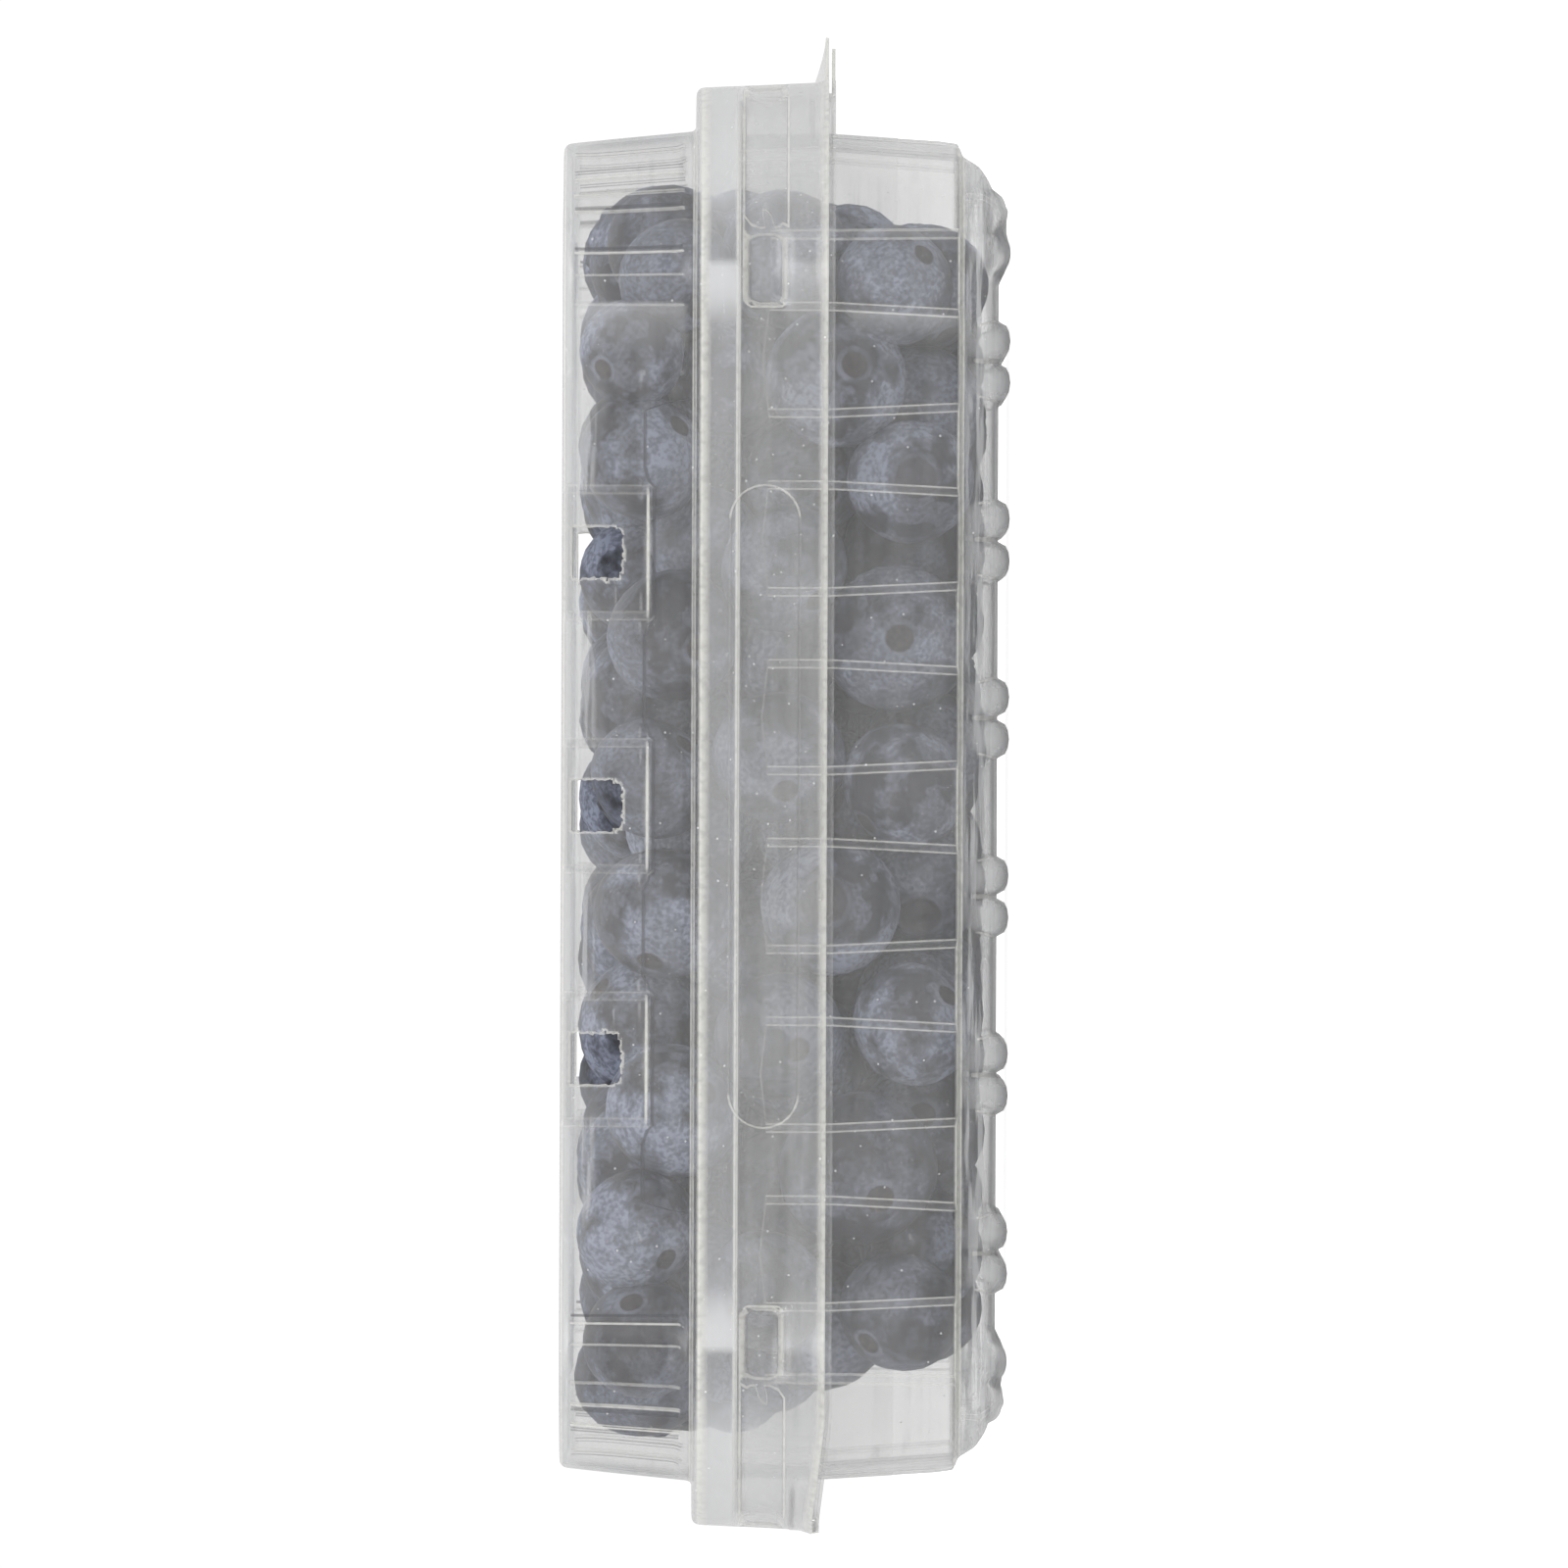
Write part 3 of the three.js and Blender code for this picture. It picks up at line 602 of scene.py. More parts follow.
def kept_inside(place, radius):
    """Berry centres moved back to where a berry of that radius clears the pack's walls."""
    height = np.clip(place[:, 2], HEAP_FLOOR + radius, HEAP_TOP - radius)
    low = np.interp(height, HEAP_ENDS[:, 0], HEAP_ENDS[:, 1]) + radius
    high = np.interp(height, HEAP_ENDS[:, 0], HEAP_ENDS[:, 2]) - radius
    across = np.stack([np.clip(place[:, 0], low, high), place[:, 1]], axis=1)
    rooms = []
    for s in (-0.85, -0.6, -0.3, 0, 0.3, 0.6, 0.85):
        wall = np.interp(height + radius * s, CAVITY[:, 0], CAVITY[:, 1])
        rooms.append(wall + radius * (1 - math.sqrt(1 - s * s)))
    room = np.min(rooms, axis=0) - radius
    middle = np.array([CORNER_X, CORNER_Y])
    past = np.maximum(np.abs(across) - middle, 0)
    out = np.linalg.norm(past, axis=1)
    pull = np.where(out > room, room / np.maximum(out, 1e-6), 1)[:, None]
    across = np.sign(across) * (np.minimum(np.abs(across), middle) + past * pull)
    return np.column_stack([across, height])


def settled_heap():
    """Centres and radii of the poured berries, pushed apart until they rest on each other."""
    state = HEAP_SEED
    draws = []
    for _ in range(BERRY_COUNT * 5):
        state = state * DRAW_FACTOR % DRAW_MODULUS
        draws.append(state / DRAW_MODULUS)
    draws = np.array(draws).reshape(BERRY_COUNT, 5)
    radius = BERRY_RADII[0] + (BERRY_RADII[1] - BERRY_RADII[0]) / 2 * (draws[:, 0] + draws[:, 1])
    place = np.array(POUR_LOW) + draws[:, 2:] * np.array(POUR_SPAN)
    count = len(AGAINST_WALL)
    for i, (x, height, size, _, _) in enumerate(AGAINST_WALL):
        radius[i] = size
        place[i] = (x - BODY_X, -60, height)
    place = kept_inside(place, radius)
    held = place[:count].copy()
    for step in range(SETTLE_STEPS):
        gap = place[:, None] - place[None]
        apart = np.linalg.norm(gap, axis=2) + np.eye(BERRY_COUNT) * 100
        overlap = np.maximum(radius[:, None] + radius[None] - apart, 0)
        place = place + (gap / apart[:, :, None] * overlap[:, :, None]).sum(axis=1) * PUSH_APART
        place[:, 2] -= SINK
        place[:count] = (place[:count] + held) / 2
        place = kept_inside(place, radius)
    return place, radius


def berry_mesh(around=24):
    """One berry of unit radius, its crown at +Z, with how far each vertex is from the crown."""
    rings = np.radians([6, 12, 15.5, 18, 20.5, 23, 26, 32, 42, 54, 67, 81, 95, 109, 123, 137, 151, 163, 172])
    verts = [(0, 0, 0.79)]
    spots = [0.0]
    for ring in rings:
        degrees = math.degrees(ring)
        for i in range(around):
            turn = 2 * math.pi * i / around
            lobe = abs(math.cos(2.5 * turn))
            cup = 1 - smooth(14.5, 19.5, np.float64(degrees))
            crown = math.exp(-((degrees - 20.5 - 1.5 * lobe) / 2.6) ** 2)
            stem = math.exp(-((180 - degrees) / 10) ** 2)
            size = 1 - 0.13 * cup + (0.02 + 0.07 * lobe) * crown - 0.06 * stem
            size += 0.008 * math.sin(3 * turn + degrees / 20)
            verts.append((size * math.sin(ring) * math.cos(turn), size * math.sin(ring) * math.sin(turn),
                          0.9 * size * math.cos(ring)))
            spots.append(degrees / 180)
    verts.append((0, 0, -0.84))
    spots.append(1.0)
    faces = [(0, 1 + i, 1 + (i + 1) % around) for i in range(around)]
    for level in range(len(rings) - 1):
        start = 1 + level * around
        faces += [(start + i, start + around + i, start + around + (i + 1) % around, start + (i + 1) % around)
                  for i in range(around)]
    last = len(verts) - 1
    start = 1 + (len(rings) - 1) * around
    faces += [(start + i, last, start + (i + 1) % around) for i in range(around)]
    mesh = bpy.data.meshes.new("one_berry")
    mesh.from_pydata(verts, [], faces)
    mesh.attributes.new("spot", "FLOAT", "POINT").data.foreach_set("value", spots)
    return mesh


def scattered(name, pattern, points, fields, material):
    """Copies of a pattern mesh on points, by Geometry Nodes, baked to one plain mesh."""
    cloud = bpy.data.meshes.new(name)
    cloud.from_pydata(points, [], [])
    for field, kind, key, values in fields:
        cloud.attributes.new(field, kind, "POINT").data.foreach_set(key, np.array(values, np.float32).ravel())
    carrier = bpy.data.objects.new(name, cloud)
    source = bpy.data.objects.new(name + "_pattern", pattern)
    bpy.context.collection.objects.link(carrier)
    bpy.context.collection.objects.link(source)
    tree = bpy.data.node_groups.new(name, "GeometryNodeTree")
    tree.interface.new_socket("Points", in_out="INPUT", socket_type="NodeSocketGeometry")
    tree.interface.new_socket("Size", in_out="INPUT", socket_type="NodeSocketFloat")
    tree.interface.new_socket("Pieces", in_out="OUTPUT", socket_type="NodeSocketGeometry")
    make = tree.nodes.new
    given = make("NodeGroupInput")
    result = make("NodeGroupOutput")
    shape = make("GeometryNodeObjectInfo")
    shape.inputs["Object"].default_value = source
    copies = make("GeometryNodeInstanceOnPoints")
    rotation = make("FunctionNodeEulerToRotation")
    scale = make("ShaderNodeVectorMath")
    scale.operation = "SCALE"
    real = make("GeometryNodeRealizeInstances")
    paint = make("GeometryNodeSetMaterial")
    paint.inputs["Material"].default_value = material
    for field, socket in (("turn", rotation.inputs[0]), ("size", scale.inputs[0])):
        reader = make("GeometryNodeInputNamedAttribute")
        reader.data_type = "FLOAT_VECTOR"
        reader.inputs["Name"].default_value = field
        tree.links.new(reader.outputs["Attribute"], socket)
    for start, end in (
        (given.outputs["Points"], copies.inputs["Points"]),
        (shape.outputs["Geometry"], copies.inputs["Instance"]),
        (rotation.outputs[0], copies.inputs["Rotation"]),
        (given.outputs["Size"], scale.inputs["Scale"]),
        (scale.outputs[0], copies.inputs["Scale"]),
        (copies.outputs[0], real.inputs[0]),
        (real.outputs[0], paint.inputs[0]),
        (paint.outputs[0], result.inputs[0]),
    ):
        tree.links.new(start, end)
    modifier = carrier.modifiers.new("spread", "NODES")
    modifier.node_group = tree
    modifier[tree.interface.items_tree["Size"].identifier] = 1.0
    bpy.context.view_layer.update()
    baked = bpy.data.meshes.new_from_object(carrier.evaluated_get(bpy.context.evaluated_depsgraph_get()))
    carrier.modifiers.clear()
    carrier.data = baked
    bpy.data.objects.remove(source)
    bpy.data.node_groups.remove(tree)
    baked.shade_smooth()
    return carrier


def berry_skin():
    """Dark skin under a pale waxy bloom that is rubbed away in patches. The spot attribute
    runs from 0 at the crown to 1 at the stem scar."""
    material, start, surface = new_material("blueberry_skin")
    spot = measure(start, "spot")
    waxy = measure(start, "waxy")
    patch = noise(start, 110, 3)
    rubbed = noise(start, 300, 6)
    grain = noise(start, 1600, 4)
    bloom = patch.ramp(0.43, 0.58) * 0.7 + rubbed.ramp(0.46, 0.58) * 0.3
    bloom = (bloom * 0.94 + 0.06) * waxy * grain.ramp(0.35, 0.65, 0.6, 1.25)
    skin = bloom.mixed(DARK_SKIN, PALE_BLOOM)
    ring = abs(spot - 0.122).ramp(0.02, 0.006)
    inside = spot.ramp(0.112, 0.102)
    scar = spot.ramp(0.932, 0.945)
    halo = abs(spot - 0.925).ramp(0.02, 0.005)
    skin = (ring * 0.55).mixed(skin, (0.085, 0.09, 0.12))
    skin = (inside * 0.8).mixed(skin, (0.045, 0.042, 0.05))
    skin = (halo * rubbed.ramp(0.35, 0.6, 0.1, 0.6)).mixed(skin, (0.22, 0.24, 0.30))
    skin = scar.mixed(skin, grain.ramp(0.35, 0.65).mixed((0.014, 0.010, 0.010), (0.060, 0.045, 0.038)))
    height = rubbed + grain * 0.3
    bump = start.node("ShaderNodeBump", {}, {"Strength": 0.2, "Distance": 0.0004, "Height": height})
    rough = bloom.ramp(0, 0.6, 0.36, 0.75)
    looks = {"Base Color": skin, "Roughness": rough, "Normal": bump}
    shader = start.node("ShaderNodeBsdfPrincipled", {}, looks)
    start.tree.links.new(shader.socket, surface)
    return material


heap, berry_radii = settled_heap()
random = np.random.default_rng(LOOKS_SEED)
crowns = random.normal(size=(BERRY_COUNT, 3))
waxy = np.clip(random.normal(0.8, 0.2, BERRY_COUNT), 0.3, 1.1)
for i, (_, _, _, crown, wax) in enumerate(AGAINST_WALL):
    crowns[i] = crown
    waxy[i] = wax
turns = [Vector(crown).to_track_quat("Z", "Y").to_euler() for crown in crowns]
squash = random.uniform(0.97, 1.03, (BERRY_COUNT, 3))
heap_place = (heap + np.array([BODY_X, 0, 0])) * MM
blueberries = scattered("blueberries", berry_mesh(), heap_place.tolist(), [
    ("turn", "FLOAT_VECTOR", "vector", turns),
    ("size", "FLOAT_VECTOR", "vector", berry_radii[:, None] * MM * squash),
    ("waxy", "FLOAT", "value", waxy),
], berry_skin())
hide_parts("berries")
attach(blueberries, "base")

# --- Lid --------------------------------
# The upper half: the same sheet drawn up into a flat-topped cover with punched vents in
# pockets, pleated corners, and a deep skirt that hangs over the base's rim.
LIP_REACH = 28.05
POCKETS = (0.0, 31.9)
POCKET_HALF = 8.75
POCKET_SLOPE = 1.6
POCKET_DEPTH = 1.2
POCKET_FLOOR = 45.4
INSET_END = 53.5
INSET_DEPTH = 0.5
PLEATS = (73.2, 92.5)
# Painted highlight lines on the corners, as place along the outline and strength, and dark creases of painted
# shade.
TAB_END_LINES = ((63.1, 0.12), (67.4, 0.26), (71.0, 0.6), (77.9, 0.4), (80.9, 0.4), (84.5, 0.7),
                 (92.2, 0.6), (99, 0.3))
HINGE_END_LINES = ((65.4, 0.45), (68.7, 0.3), (75.1, 0.3), (78.8, 0.6), (82.9, 0.8), (90.3, 0.5), (97, 0.3))
TAB_END_CREASES = (71.7, 78.5, 86.3, 93.1)
HINGE_END_CREASES = (64.2, 79.7, 84.0, 91.5)
PLEAT_HALF = 3.3
PLEAT_SLOPE = 3.3
VENT_HALF = 3.2
VENT_CORNER = 1.3
VENT_LOW = 49.0
VENT_HIGH = 55.4
# Shapes sunk in the skirt; a box is half length, half height and corner radius.
STADIUM_Z = 30.9
STADIUM_HALF = 36.0
STADIUM_RADIUS = 4.4
CHANNEL_MID = 82.85
CHANNEL_BOX = (20.05, 2.8, 1.2)
END_BOX = (4.0, 2.1, 0.9)
END_BOX_MIDS = (CHANNEL_MID - 15.6, CHANNEL_MID + 15.6)
SUNK_REACH = 26.2
SUNK_TOP = 38.5
LID_WALL_IN = 18.5
LID_WALL_OUT = 22
SKIRT_REACH = 26
LID_HAZE = 0.052


def rounded_gap(across, up, radius):
    """Signed distance from a rounded box, given the distances to its straight sides."""
    across = across + radius
    up = up + radius
    outside = np.hypot(np.maximum(across, 0), np.maximum(up, 0))
    return outside + np.minimum(np.maximum(across, up), 0) - radius


def vent_gap(along, height):
    """Signed distance from the torn edge of the nearest vent, less than 0 in the hole."""
    middle = (VENT_LOW + VENT_HIGH + 2) / 2
    nearest = np.min([np.abs(along - centre) for centre in POCKETS], axis=0)
    up = np.abs(height - middle) - (VENT_HIGH + 2 - VENT_LOW) / 2
    gap = rounded_gap(nearest - VENT_HALF, up, VENT_CORNER)
    torn = np.sin(along * 9.1 + height * 3.0) * 0.09 + np.sin(height * 7.3 - along * 4.1) * 0.10
    torn = torn + np.sin(along * 17.0 + 1.3) * np.sin(height * 15.0) * 0.08
    return np.maximum(gap + torn, height - VENT_HIGH)


def stadium_gap(along, height):
    """Signed distance from the edge of the long round-ended shape on the skirt."""
    return np.hypot(np.maximum(along - STADIUM_HALF, 0), height - STADIUM_Z) - STADIUM_RADIUS


def box_gap(along, height, middle, half_along, half_height, radius):
    """Signed distance from the edge of a box on the skirt."""
    up = np.abs(height - STADIUM_Z) - half_height
    return rounded_gap(np.abs(along - middle) - half_along, up, radius)


def sunk_part(gap):
    return 1 - smooth(-0.3, 0.3, gap)


def lid_relief(along, x, reach, height):
    """Sunk inset, pockets and pleats on the lid's wall, and sunk shapes on its skirt."""
    wall = (height > 40.3) & (reach > LID_WALL_IN) & (reach < LID_WALL_OUT)
    below_edge = 1 - smooth(55.5, 56.2, height)
    inset = INSET_DEPTH * (1 - smooth(INSET_END, INSET_END + 1.5, along)) * smooth(45.7, 46.4, height)
    pocket = 0
    for centre in POCKETS:
        inside = 1 - smooth(POCKET_HALF - POCKET_SLOPE, POCKET_HALF, np.abs(along - centre))
        pocket = np.maximum(pocket, inside)
    pocket = POCKET_DEPTH * pocket * smooth(POCKET_FLOOR - 0.6, POCKET_FLOOR + 0.6, height)
    pleat = 0
    arch = np.sqrt(np.clip(1 - np.clip((height - 49) / 6.5, 0, 1) ** 2, 0, 1))
    for centre in PLEATS:
        pleat = np.maximum(pleat, 1 - smooth(0, PLEAT_SLOPE, np.abs(along - centre) - PLEAT_HALF * arch))
    pleat = 0.55 * pleat * arch * smooth(40.3, 42.5, height)
    push = -(inset + pocket + pleat) * wall * below_edge
    skirt = (reach > SUNK_REACH) & (height < SUNK_TOP)
    sunk = 0.35 * sunk_part(stadium_gap(along, height))
    sunk = sunk + 0.4 * sunk_part(box_gap(along, height, CHANNEL_MID, *CHANNEL_BOX))
    for centre in END_BOX_MIDS:
        sunk = sunk + 0.35 * sunk_part(box_gap(along, height, centre, *END_BOX))
    return push - sunk * skirt


# The lid has a column beside every edge, line and crease.
across_pocket = np.concatenate([np.arange(0, 4.2, 0.4),
                                np.linspace(POCKET_HALF - POCKET_SLOPE, POCKET_HALF, 5)])
across_channel = (19.2, 19.75, 20.05, 20.35, 11.6, 11.9, 12.2, 19.0)
fine_marks = [c + s * e for c in POCKETS for s in (-1, 1) for e in across_pocket]
fine_marks += [INSET_END + e for e in (0, 0.5, 1.0, 1.5)] + list(np.arange(STADIUM_HALF, 40.9, 0.6))
fine_marks += [c + s * (PLEAT_HALF + e) for c in PLEATS for s in (-1, 1) for e in (0, 1.6, 3.3)]
fine_marks += [mark for mark, _ in TAB_END_LINES + HINGE_END_LINES]
fine_marks += sorted(TAB_END_CREASES + HINGE_END_CREASES)
fine_marks += [CHANNEL_MID + s * e for s in (-1, 1) for e in across_channel]
lid_loop = outline_loop(fine_marks)[:, ::-1]
lid_corners = [(7.5, 55.4), (8.6, 56.5), (19.7, 56.5), (20.4, 50), (21.4, 39.8), (26.9, 39.8), (27.6, 24.6),
               (LIP_REACH, 23.2), (LIP_REACH, 23.0)]


def lid_step(reach, height):
    """The longest a row of the lid may be: fine round the vents and ledges, coarse elsewhere."""
    if reach > 25.5 and height > 38:
        return 0.3
    if 25 < height < 37:
        return 1.0
    if reach < 18 or height < 41:
        return 2
    if height > 47.5:
        return 0.42 if height < 51 else 0.56
    return 0.2 if 45.2 < height < 46.4 else 0.9


lid_path, lid_folds = filleted(lid_corners, (0.8, 1.2, 60, 0.8, 1.2, 2.5, 0.2))
lid_path = densified(densified(lid_path, lambda reach, height: 1 if 18 < reach < 22 else 99), lid_step)
lid_out = outward_normals(lid_path, -1)
lid_reach, lid_height = (np.repeat(lid_path[:, i:i + 1], lid_loop.shape[1], axis=1) for i in (0, 1))
lid_along = np.repeat(lid_loop[:1], len(lid_path), axis=0)
# Vertices beside a vent move onto its torn edge, and the cells inside it are left out.
on_wall = (lid_reach > LID_WALL_IN) & (lid_height > 47) & (lid_height < 56) & (lid_along < 45)
gap = vent_gap(lid_along, lid_height)
step = 0.01
slope_along = (vent_gap(lid_along + step, lid_height) - gap) / step
slope_height = (vent_gap(lid_along, lid_height + step) - gap) / step
near_vent = on_wall & (np.abs(gap) < 0.24)
shift = np.where(near_vent, gap / np.maximum(slope_along ** 2 + slope_height ** 2, 0.3), 0)
lid_along = lid_along - shift * slope_along
moved_height = lid_height - shift * slope_height
wall_before = np.interp(lid_height, [50, 56], [20.4, 19.7])
wall_after = np.interp(moved_height, [50, 56], [20.4, 19.7])
lid_reach = lid_reach + np.where(near_vent, wall_after - wall_before, 0)
lid_height = moved_height
lid_outer, lid_inner = drawn_sheet(lid_loop, lid_along, lid_reach, lid_height,
                                   lid_out[:, :1], lid_out[:, 1:], lid_relief)
corner_sums = (lid_along + np.roll(lid_along, -1, 1), lid_height + np.roll(lid_height, -1, 1))
cell = [total[:-1] + total[1:] for total in corner_sums]
holes = (vent_gap(cell[0] / 4, cell[1] / 4) < 0) & on_wall[:-1] & on_wall[1:]
# How far each vertex is from each kind of line.
shapes = np.stack([stadium_gap(lid_along, lid_height),
                   box_gap(lid_along, lid_height, CHANNEL_MID, *CHANNEL_BOX),
                   box_gap(lid_along, lid_height, END_BOX_MIDS[0], *END_BOX),
                   box_gap(lid_along, lid_height, END_BOX_MIDS[1], *END_BOX)])
nearest = np.argmin(np.abs(shapes), axis=0)
emboss = np.take_along_axis(shapes, nearest[None], axis=0)[0]
emboss = np.where((lid_reach > SUNK_REACH) & (lid_height < SUNK_TOP), emboss, NO_LINE)
# Painted highlights along the edges of the sunk shapes.
emboss_highlight = np.choose(nearest, [np.where(lid_along > 36.5, 0.3, 0.05), 0.42, 0.25, 0.25])
line_gap = np.full(lid_along.shape, NO_LINE)
line_highlight = np.zeros(lid_along.shape)
for sign, lines in ((1, TAB_END_LINES), (-1, HINGE_END_LINES)):
    for mark, light in lines:
        distance = np.where(lid_loop[1] == sign, np.abs(lid_along - mark), NO_LINE)
        line_highlight = np.where(distance < line_gap, light, line_highlight)
        line_gap = np.minimum(line_gap, distance)
on_side = (lid_reach > LID_WALL_IN) & (lid_reach < LID_WALL_OUT)
on_corner = on_side & (lid_height > 40.6) & (lid_height < 55.2)
line_gap = np.where(on_corner, line_gap, NO_LINE)
from_pockets = [np.abs(lid_along - centre) for centre in POCKETS]
pocket_near = np.min(from_pockets, axis=0)
pocket_gap = np.min([np.abs(away - POCKET_HALF + POCKET_SLOPE / 2) for away in from_pockets], axis=0)
flute = np.where(on_side & (lid_height > POCKET_FLOOR), pocket_gap, NO_LINE)
# Dark creases of painted shade along the ledge under the inset and pockets, and across the corners.
crease_level = 46.1 - 1.2 * (1 - smooth(8.3, 9.5, pocket_near))
crease = np.where(on_side & (lid_along < INSET_END), lid_height - crease_level, NO_LINE)
for sign, marks in ((1, TAB_END_CREASES), (-1, HINGE_END_CREASES)):
    on_end = on_corner & (lid_loop[1] == sign)
    for mark in marks:
        crease = np.where(on_end, np.minimum(crease, np.abs(lid_along - mark)), crease)
# Where the sheet gets painted reflection streaks, painted highlights on its edges, and painted light and
# shade.
between = 1 - smooth(0, 1.2, POCKET_HALF - 0.6 - pocket_near)
lid_reflection_streaks = 0.28 * smooth(52.0, 52.9, lid_height) * (1 - smooth(54.4, 55.2, lid_height)) * between
lid_reflection_streaks = lid_reflection_streaks * (lid_reach > LID_WALL_IN) * (lid_along < INSET_END)
beside_hole = np.zeros(lid_along.shape, bool)
for down, across in ((0, 0), (1, 0), (0, 1), (1, 1)):
    padded = np.zeros(lid_along.shape, bool)
    padded[:-1] = holes
    beside_hole |= np.roll(padded, (down, across), (0, 1))
ledge_width = 0.26 * np.sqrt(np.clip(1 - (pocket_near / 8.6) ** 2, 0.01, 1))
ledge = np.clip(1.3 - np.abs(lid_height - 45.75) / ledge_width, 0, 1)
ledge = ledge * (lid_reach > LID_WALL_IN) * (pocket_near < 8.6)
shoulder = (lid_reach > 25.6) * np.clip(1.3 - np.abs(lid_height - 38.85) / 0.35, 0, 1)
# Painted highlights on the vents' torn edges, the ledge, the lip's cut edge and the shoulder's edge seen edge
# on.
whitening_and_highlight = np.max([beside_hole * 0.6, ledge * 0.6, (lid_height < 23.45) * 0.55, shoulder * 0.7], axis=0)
# Painted light and shade on the skirt: a painted reflection along its upper roll, a painted lamp glow near
# the corners, painted shade between the rims, and lighter towards the ends; a painted highlight on the top
# edge and the painted sheen on the walls.
on_skirt = lid_reach > SKIRT_REACH
between_rims = (lid_height > 33.2) & (lid_height < 34.3)
roll = on_skirt * smooth(34.2, 34.8, lid_height) * (1 - smooth(38.2, 38.8, lid_height))
painted_glow = (1 - smooth(67.2, 68.6, lid_along)) * smooth(59, 66, lid_along)
painted_light_and_shade = roll * (0.16 + 0.4 * painted_glow) + 0.28 * smooth(54.6, 55.6, lid_height) * (lid_reach > 18)
painted_light_and_shade = painted_light_and_shade + 0.16 * painted_glow * on_skirt * (lid_height < 28.4)
painted_light_and_shade = painted_light_and_shade - 0.02 * on_skirt * (lid_height < 33.2) * (lid_along < 66)
painted_light_and_shade = painted_light_and_shade + on_skirt * np.where(between_rims, -0.045, 0.2 * smooth(70, 80, lid_along))
painted_sheen = (lid_loop[1] > 0) * (lid_along < 63.2) * np.clip(1 - (63.2 - lid_along) / 7, 0, 1) ** 1.5
painted_light_and_shade = painted_light_and_shade + 0.16 * painted_sheen * on_side * (lid_height > 41) * (lid_height < 54.6)


def lid_top(first_index, outer, inner):
    """Both sides of the lid's flat top, each one face inside the first row."""
    return np.empty((0, 3)), [tuple(outer[::-1].tolist()), tuple(inner.tolist())]


row_gap = fold_distance(lid_path, lid_folds)[:, None]
# Painted highlights along the lid's folds, none on the skirt's upper part.
row_highlight = np.where((lid_path[:, :1] > 26) & (lid_path[:, 1:] > 36), 0.0, 0.45)
lid_marks = {
    "fold_gap": np.minimum(row_gap, line_gap),
    "fold_highlight": np.where(line_gap < row_gap, line_highlight, row_highlight),
    "flute_gap": flute,
    "flute_highlight": np.full(lid_along.shape, 0.12),
    "emboss_gap": emboss,
    "emboss_highlight": emboss_highlight,
    "reflection_streaks": lid_reflection_streaks,
    "whitening_and_highlight": whitening_and_highlight,
    "painted_light_and_shade": painted_light_and_shade,
    "crease_gap": crease,
}
lid_mesh = sheet_mesh("lid_sheet", lid_outer, lid_inner, lid_top, holes, lid_marks)
lid_plastic = clear_sheet("clear_lid_sheet", LID_HAZE)
finished_piece("lid_cover", lid_mesh, lid_plastic, "lid", "lid")

# --- Opening tabs -----------------------
# A thumb tab on the lid's lip, drawn as a shallow scoop, over a shorter flat one on the base's
# flange. Both are part of their shell's sheet and end in the same cut edge.
TAB_HALF = 17.0
SKIRT_END = BODY_X + CORNER_X + LIP_REACH


def whiten(mesh, whitening_and_highlight):
    """Mark a small mesh's whitening and painted highlight, with no lines on it, and turn its faces outwards.
    """
    for key in ("whitening_and_highlight", "fold_gap", "flute_gap", "emboss_gap", "crease_gap"):
        values = whitening_and_highlight * 0 + NO_LINE if key.endswith("gap") else whitening_and_highlight
        mesh.attributes.new(key, "FLOAT", "POINT").data.foreach_set("value", values.astype(np.float32))
    turner = bmesh.new()
    turner.from_mesh(mesh)
    bmesh.ops.recalc_face_normals(turner, faces=turner.faces)
    turner.to_mesh(mesh)
    turner.free()


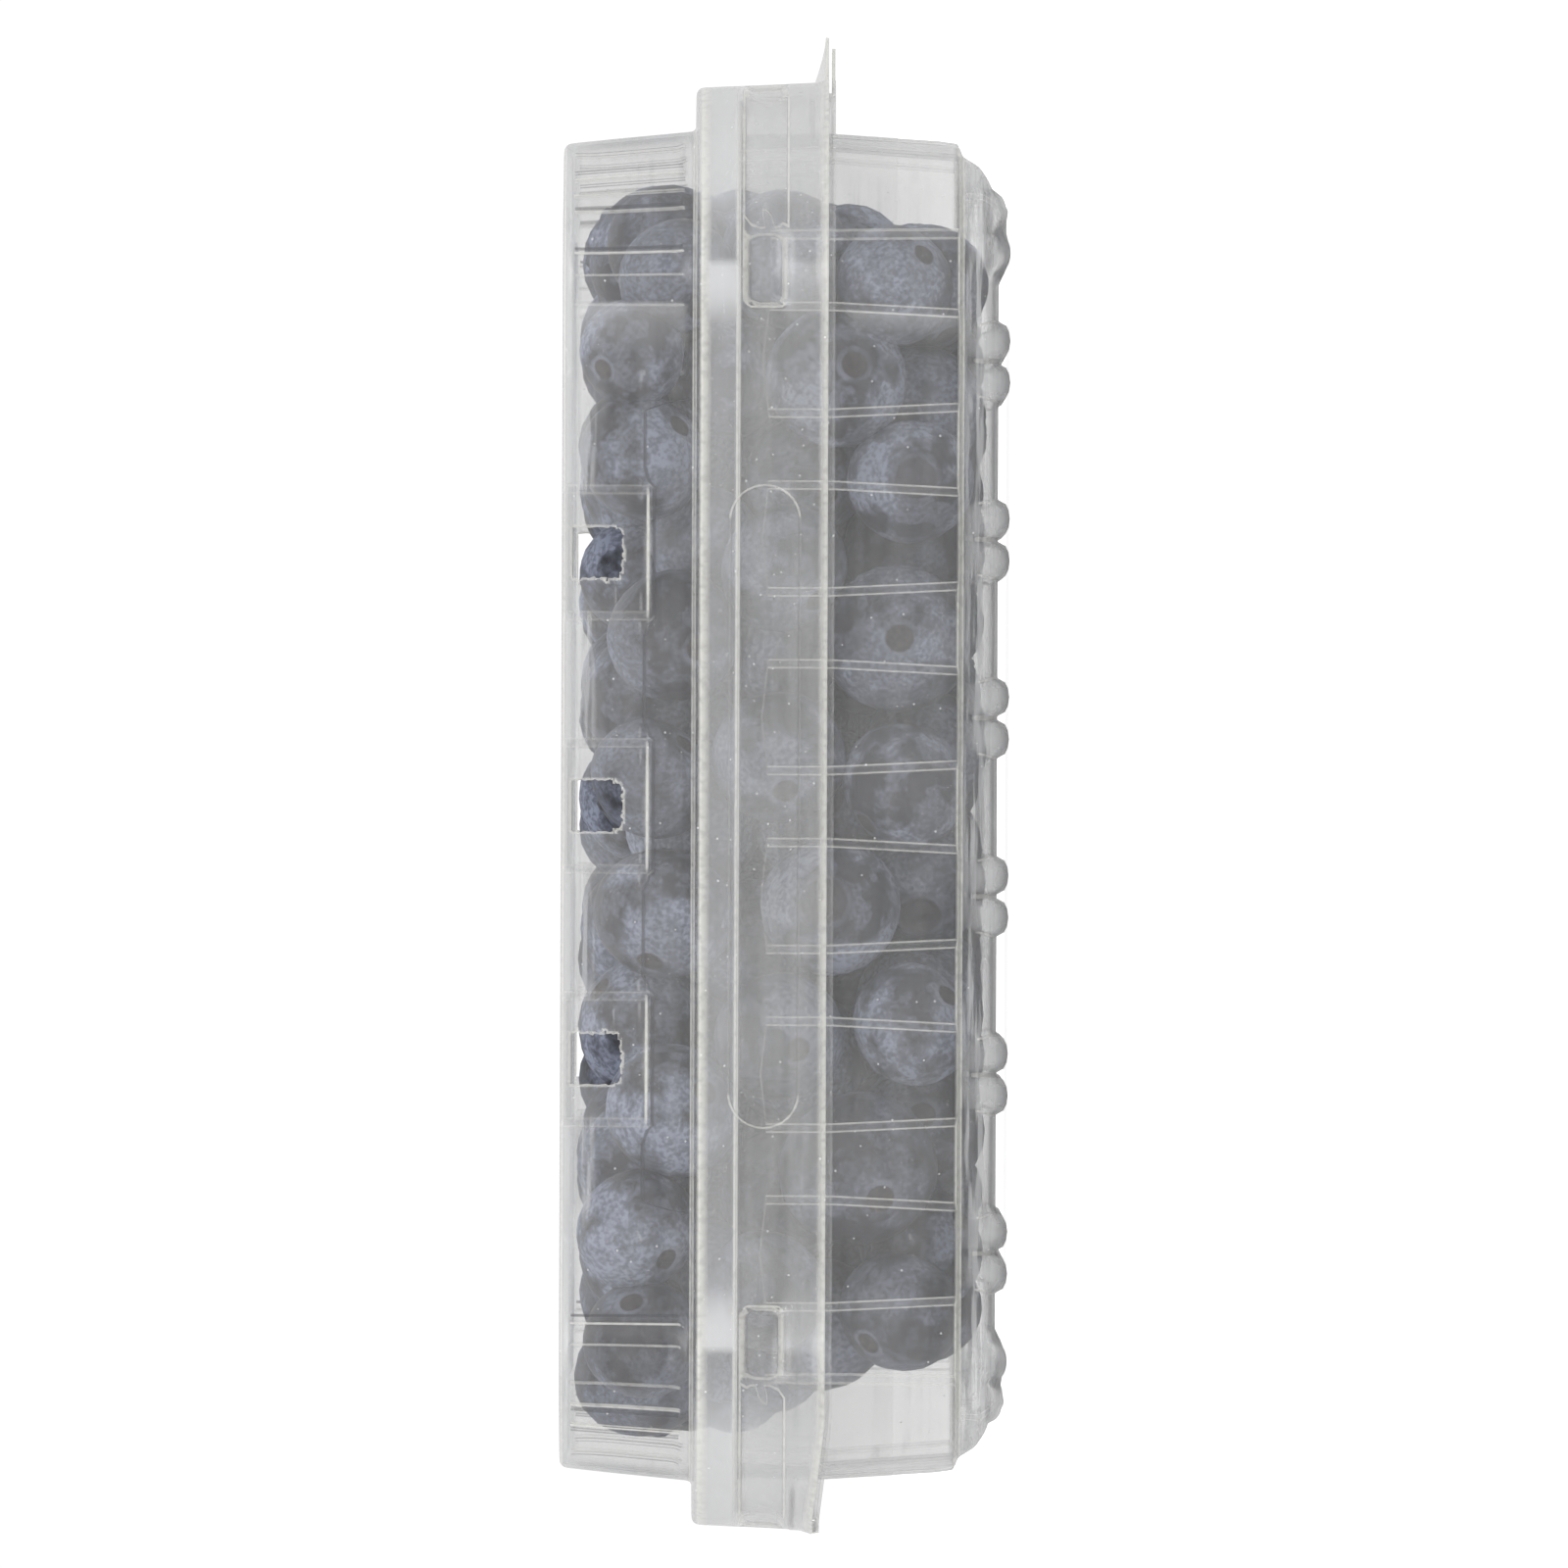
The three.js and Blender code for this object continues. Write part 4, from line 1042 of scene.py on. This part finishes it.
def tab_mesh(name, root, tip, under, scoop, half_width, corner, rows=14, columns=36):
    """A thin plate with rounded corners whose upper side rises by scoop towards its root."""
    v = np.linspace(-1, 1, columns + 1)[None, :]
    u = np.linspace(0, 1, rows + 1)[:, None]
    y = v * half_width + 0 * u
    edge = np.maximum(np.abs(y) - (half_width - corner), 0)
    reach = tip - corner + np.sqrt(np.maximum(corner ** 2 - edge ** 2, 0))
    x = root + (reach - root) * u
    rise = scoop * (1 - u) ** 1.4 * np.clip(1 - np.abs(v) ** 3, 0, 1)
    lower = np.stack([x, y, under + rise], axis=2).reshape(-1, 3)
    upper = np.stack([x, y, under + rise + SHEET], axis=2).reshape(-1, 3)
    index = np.arange((rows + 1) * (columns + 1)).reshape(rows + 1, columns + 1)
    a, b, c, d = index[:-1, :-1], index[1:, :-1], index[1:, 1:], index[:-1, 1:]
    quads = [np.stack([a, d, c, b], axis=2).reshape(-1, 4)]
    quads.append(np.stack([a, b, c, d], axis=2).reshape(-1, 4) + index.size)
    rim = np.concatenate([index[0, :-1], index[:-1, -1], index[-1, :0:-1], index[:0:-1, 0]])
    nxt = np.roll(rim, -1)
    quads.append(np.stack([rim, rim + index.size, nxt + index.size, nxt], axis=1))
    mesh = bpy.data.meshes.new(name)
    mesh.from_pydata((np.vstack([lower, upper]) * MM).tolist(), [], np.vstack(quads).tolist())
    # Paler towards the cut edges: a painted highlight.
    near_edge = np.minimum((1 - u) * 4, (1 - np.abs(v)) * 10) + 0 * x
    whiten(mesh, np.tile(0.75 * (1 - smooth(0.0, 0.6, near_edge)).ravel(), 2))
    return mesh


lid_tab = tab_mesh("lid_tab", SKIRT_END - 0.2, SKIRT_END + 5.7, 23.02, 1.5, TAB_HALF, 4.5)
finished_piece("lid_tab", lid_tab, lid_plastic, "lid")
base_tab = tab_mesh("base_tab", SKIRT_END - 0.9, SKIRT_END + 4.3, 22.2, 0, TAB_HALF - 0.5, 4.0)
finished_piece("base_tab", base_tab, base_plastic, "base")

# --- Hinge ------------------------------
# The strip where both shells are one sheet: it leaves the base's flange, folds over at the
# end of the pack, and meets the lid's lip.
HINGE_HALF = 30.0
HINGE_X = -94.35
HINGE_Z = FLANGE_TOP + HINGE_RISE + 0.15
HINGE_SHEET = 0.18
FOLD_OUT = 0.52
FOLD_UP = 0.62
HINGE_WHITE = 0.35
fold_angles = np.radians(np.linspace(-90, 90, 9))
hinge_verts = []
hinge_rows = 25
for y in np.linspace(-HINGE_HALF, HINGE_HALF, hinge_rows):
    for thick in (0.0, HINGE_SHEET):
        for angle in fold_angles:
            out = (FOLD_OUT - thick) * math.cos(angle)
            up = (FOLD_UP - thick) * math.sin(angle)
            hinge_verts.append((HINGE_X - out, y, HINGE_Z + up))
ring = len(fold_angles)
loop_order = list(range(ring)) + list(range(2 * ring - 1, ring - 1, -1))
hinge_faces = []
for row in range(hinge_rows - 1):
    here = row * 2 * ring
    there = here + 2 * ring
    for a, b in zip(loop_order, loop_order[1:] + loop_order[:1]):
        hinge_faces.append((here + a, here + b, there + b, there + a))
hinge_faces.append(tuple(loop_order[::-1]))
hinge_faces.append(tuple((hinge_rows - 1) * 2 * ring + i for i in loop_order))
hinge_mesh = bpy.data.meshes.new("hinge_fold")
hinge_mesh.from_pydata([tuple(c * MM for c in v) for v in hinge_verts], [], hinge_faces)
whiten(hinge_mesh, np.full(len(hinge_verts), HINGE_WHITE))
finished_piece("hinge_fold", hinge_mesh, base_plastic, "base")
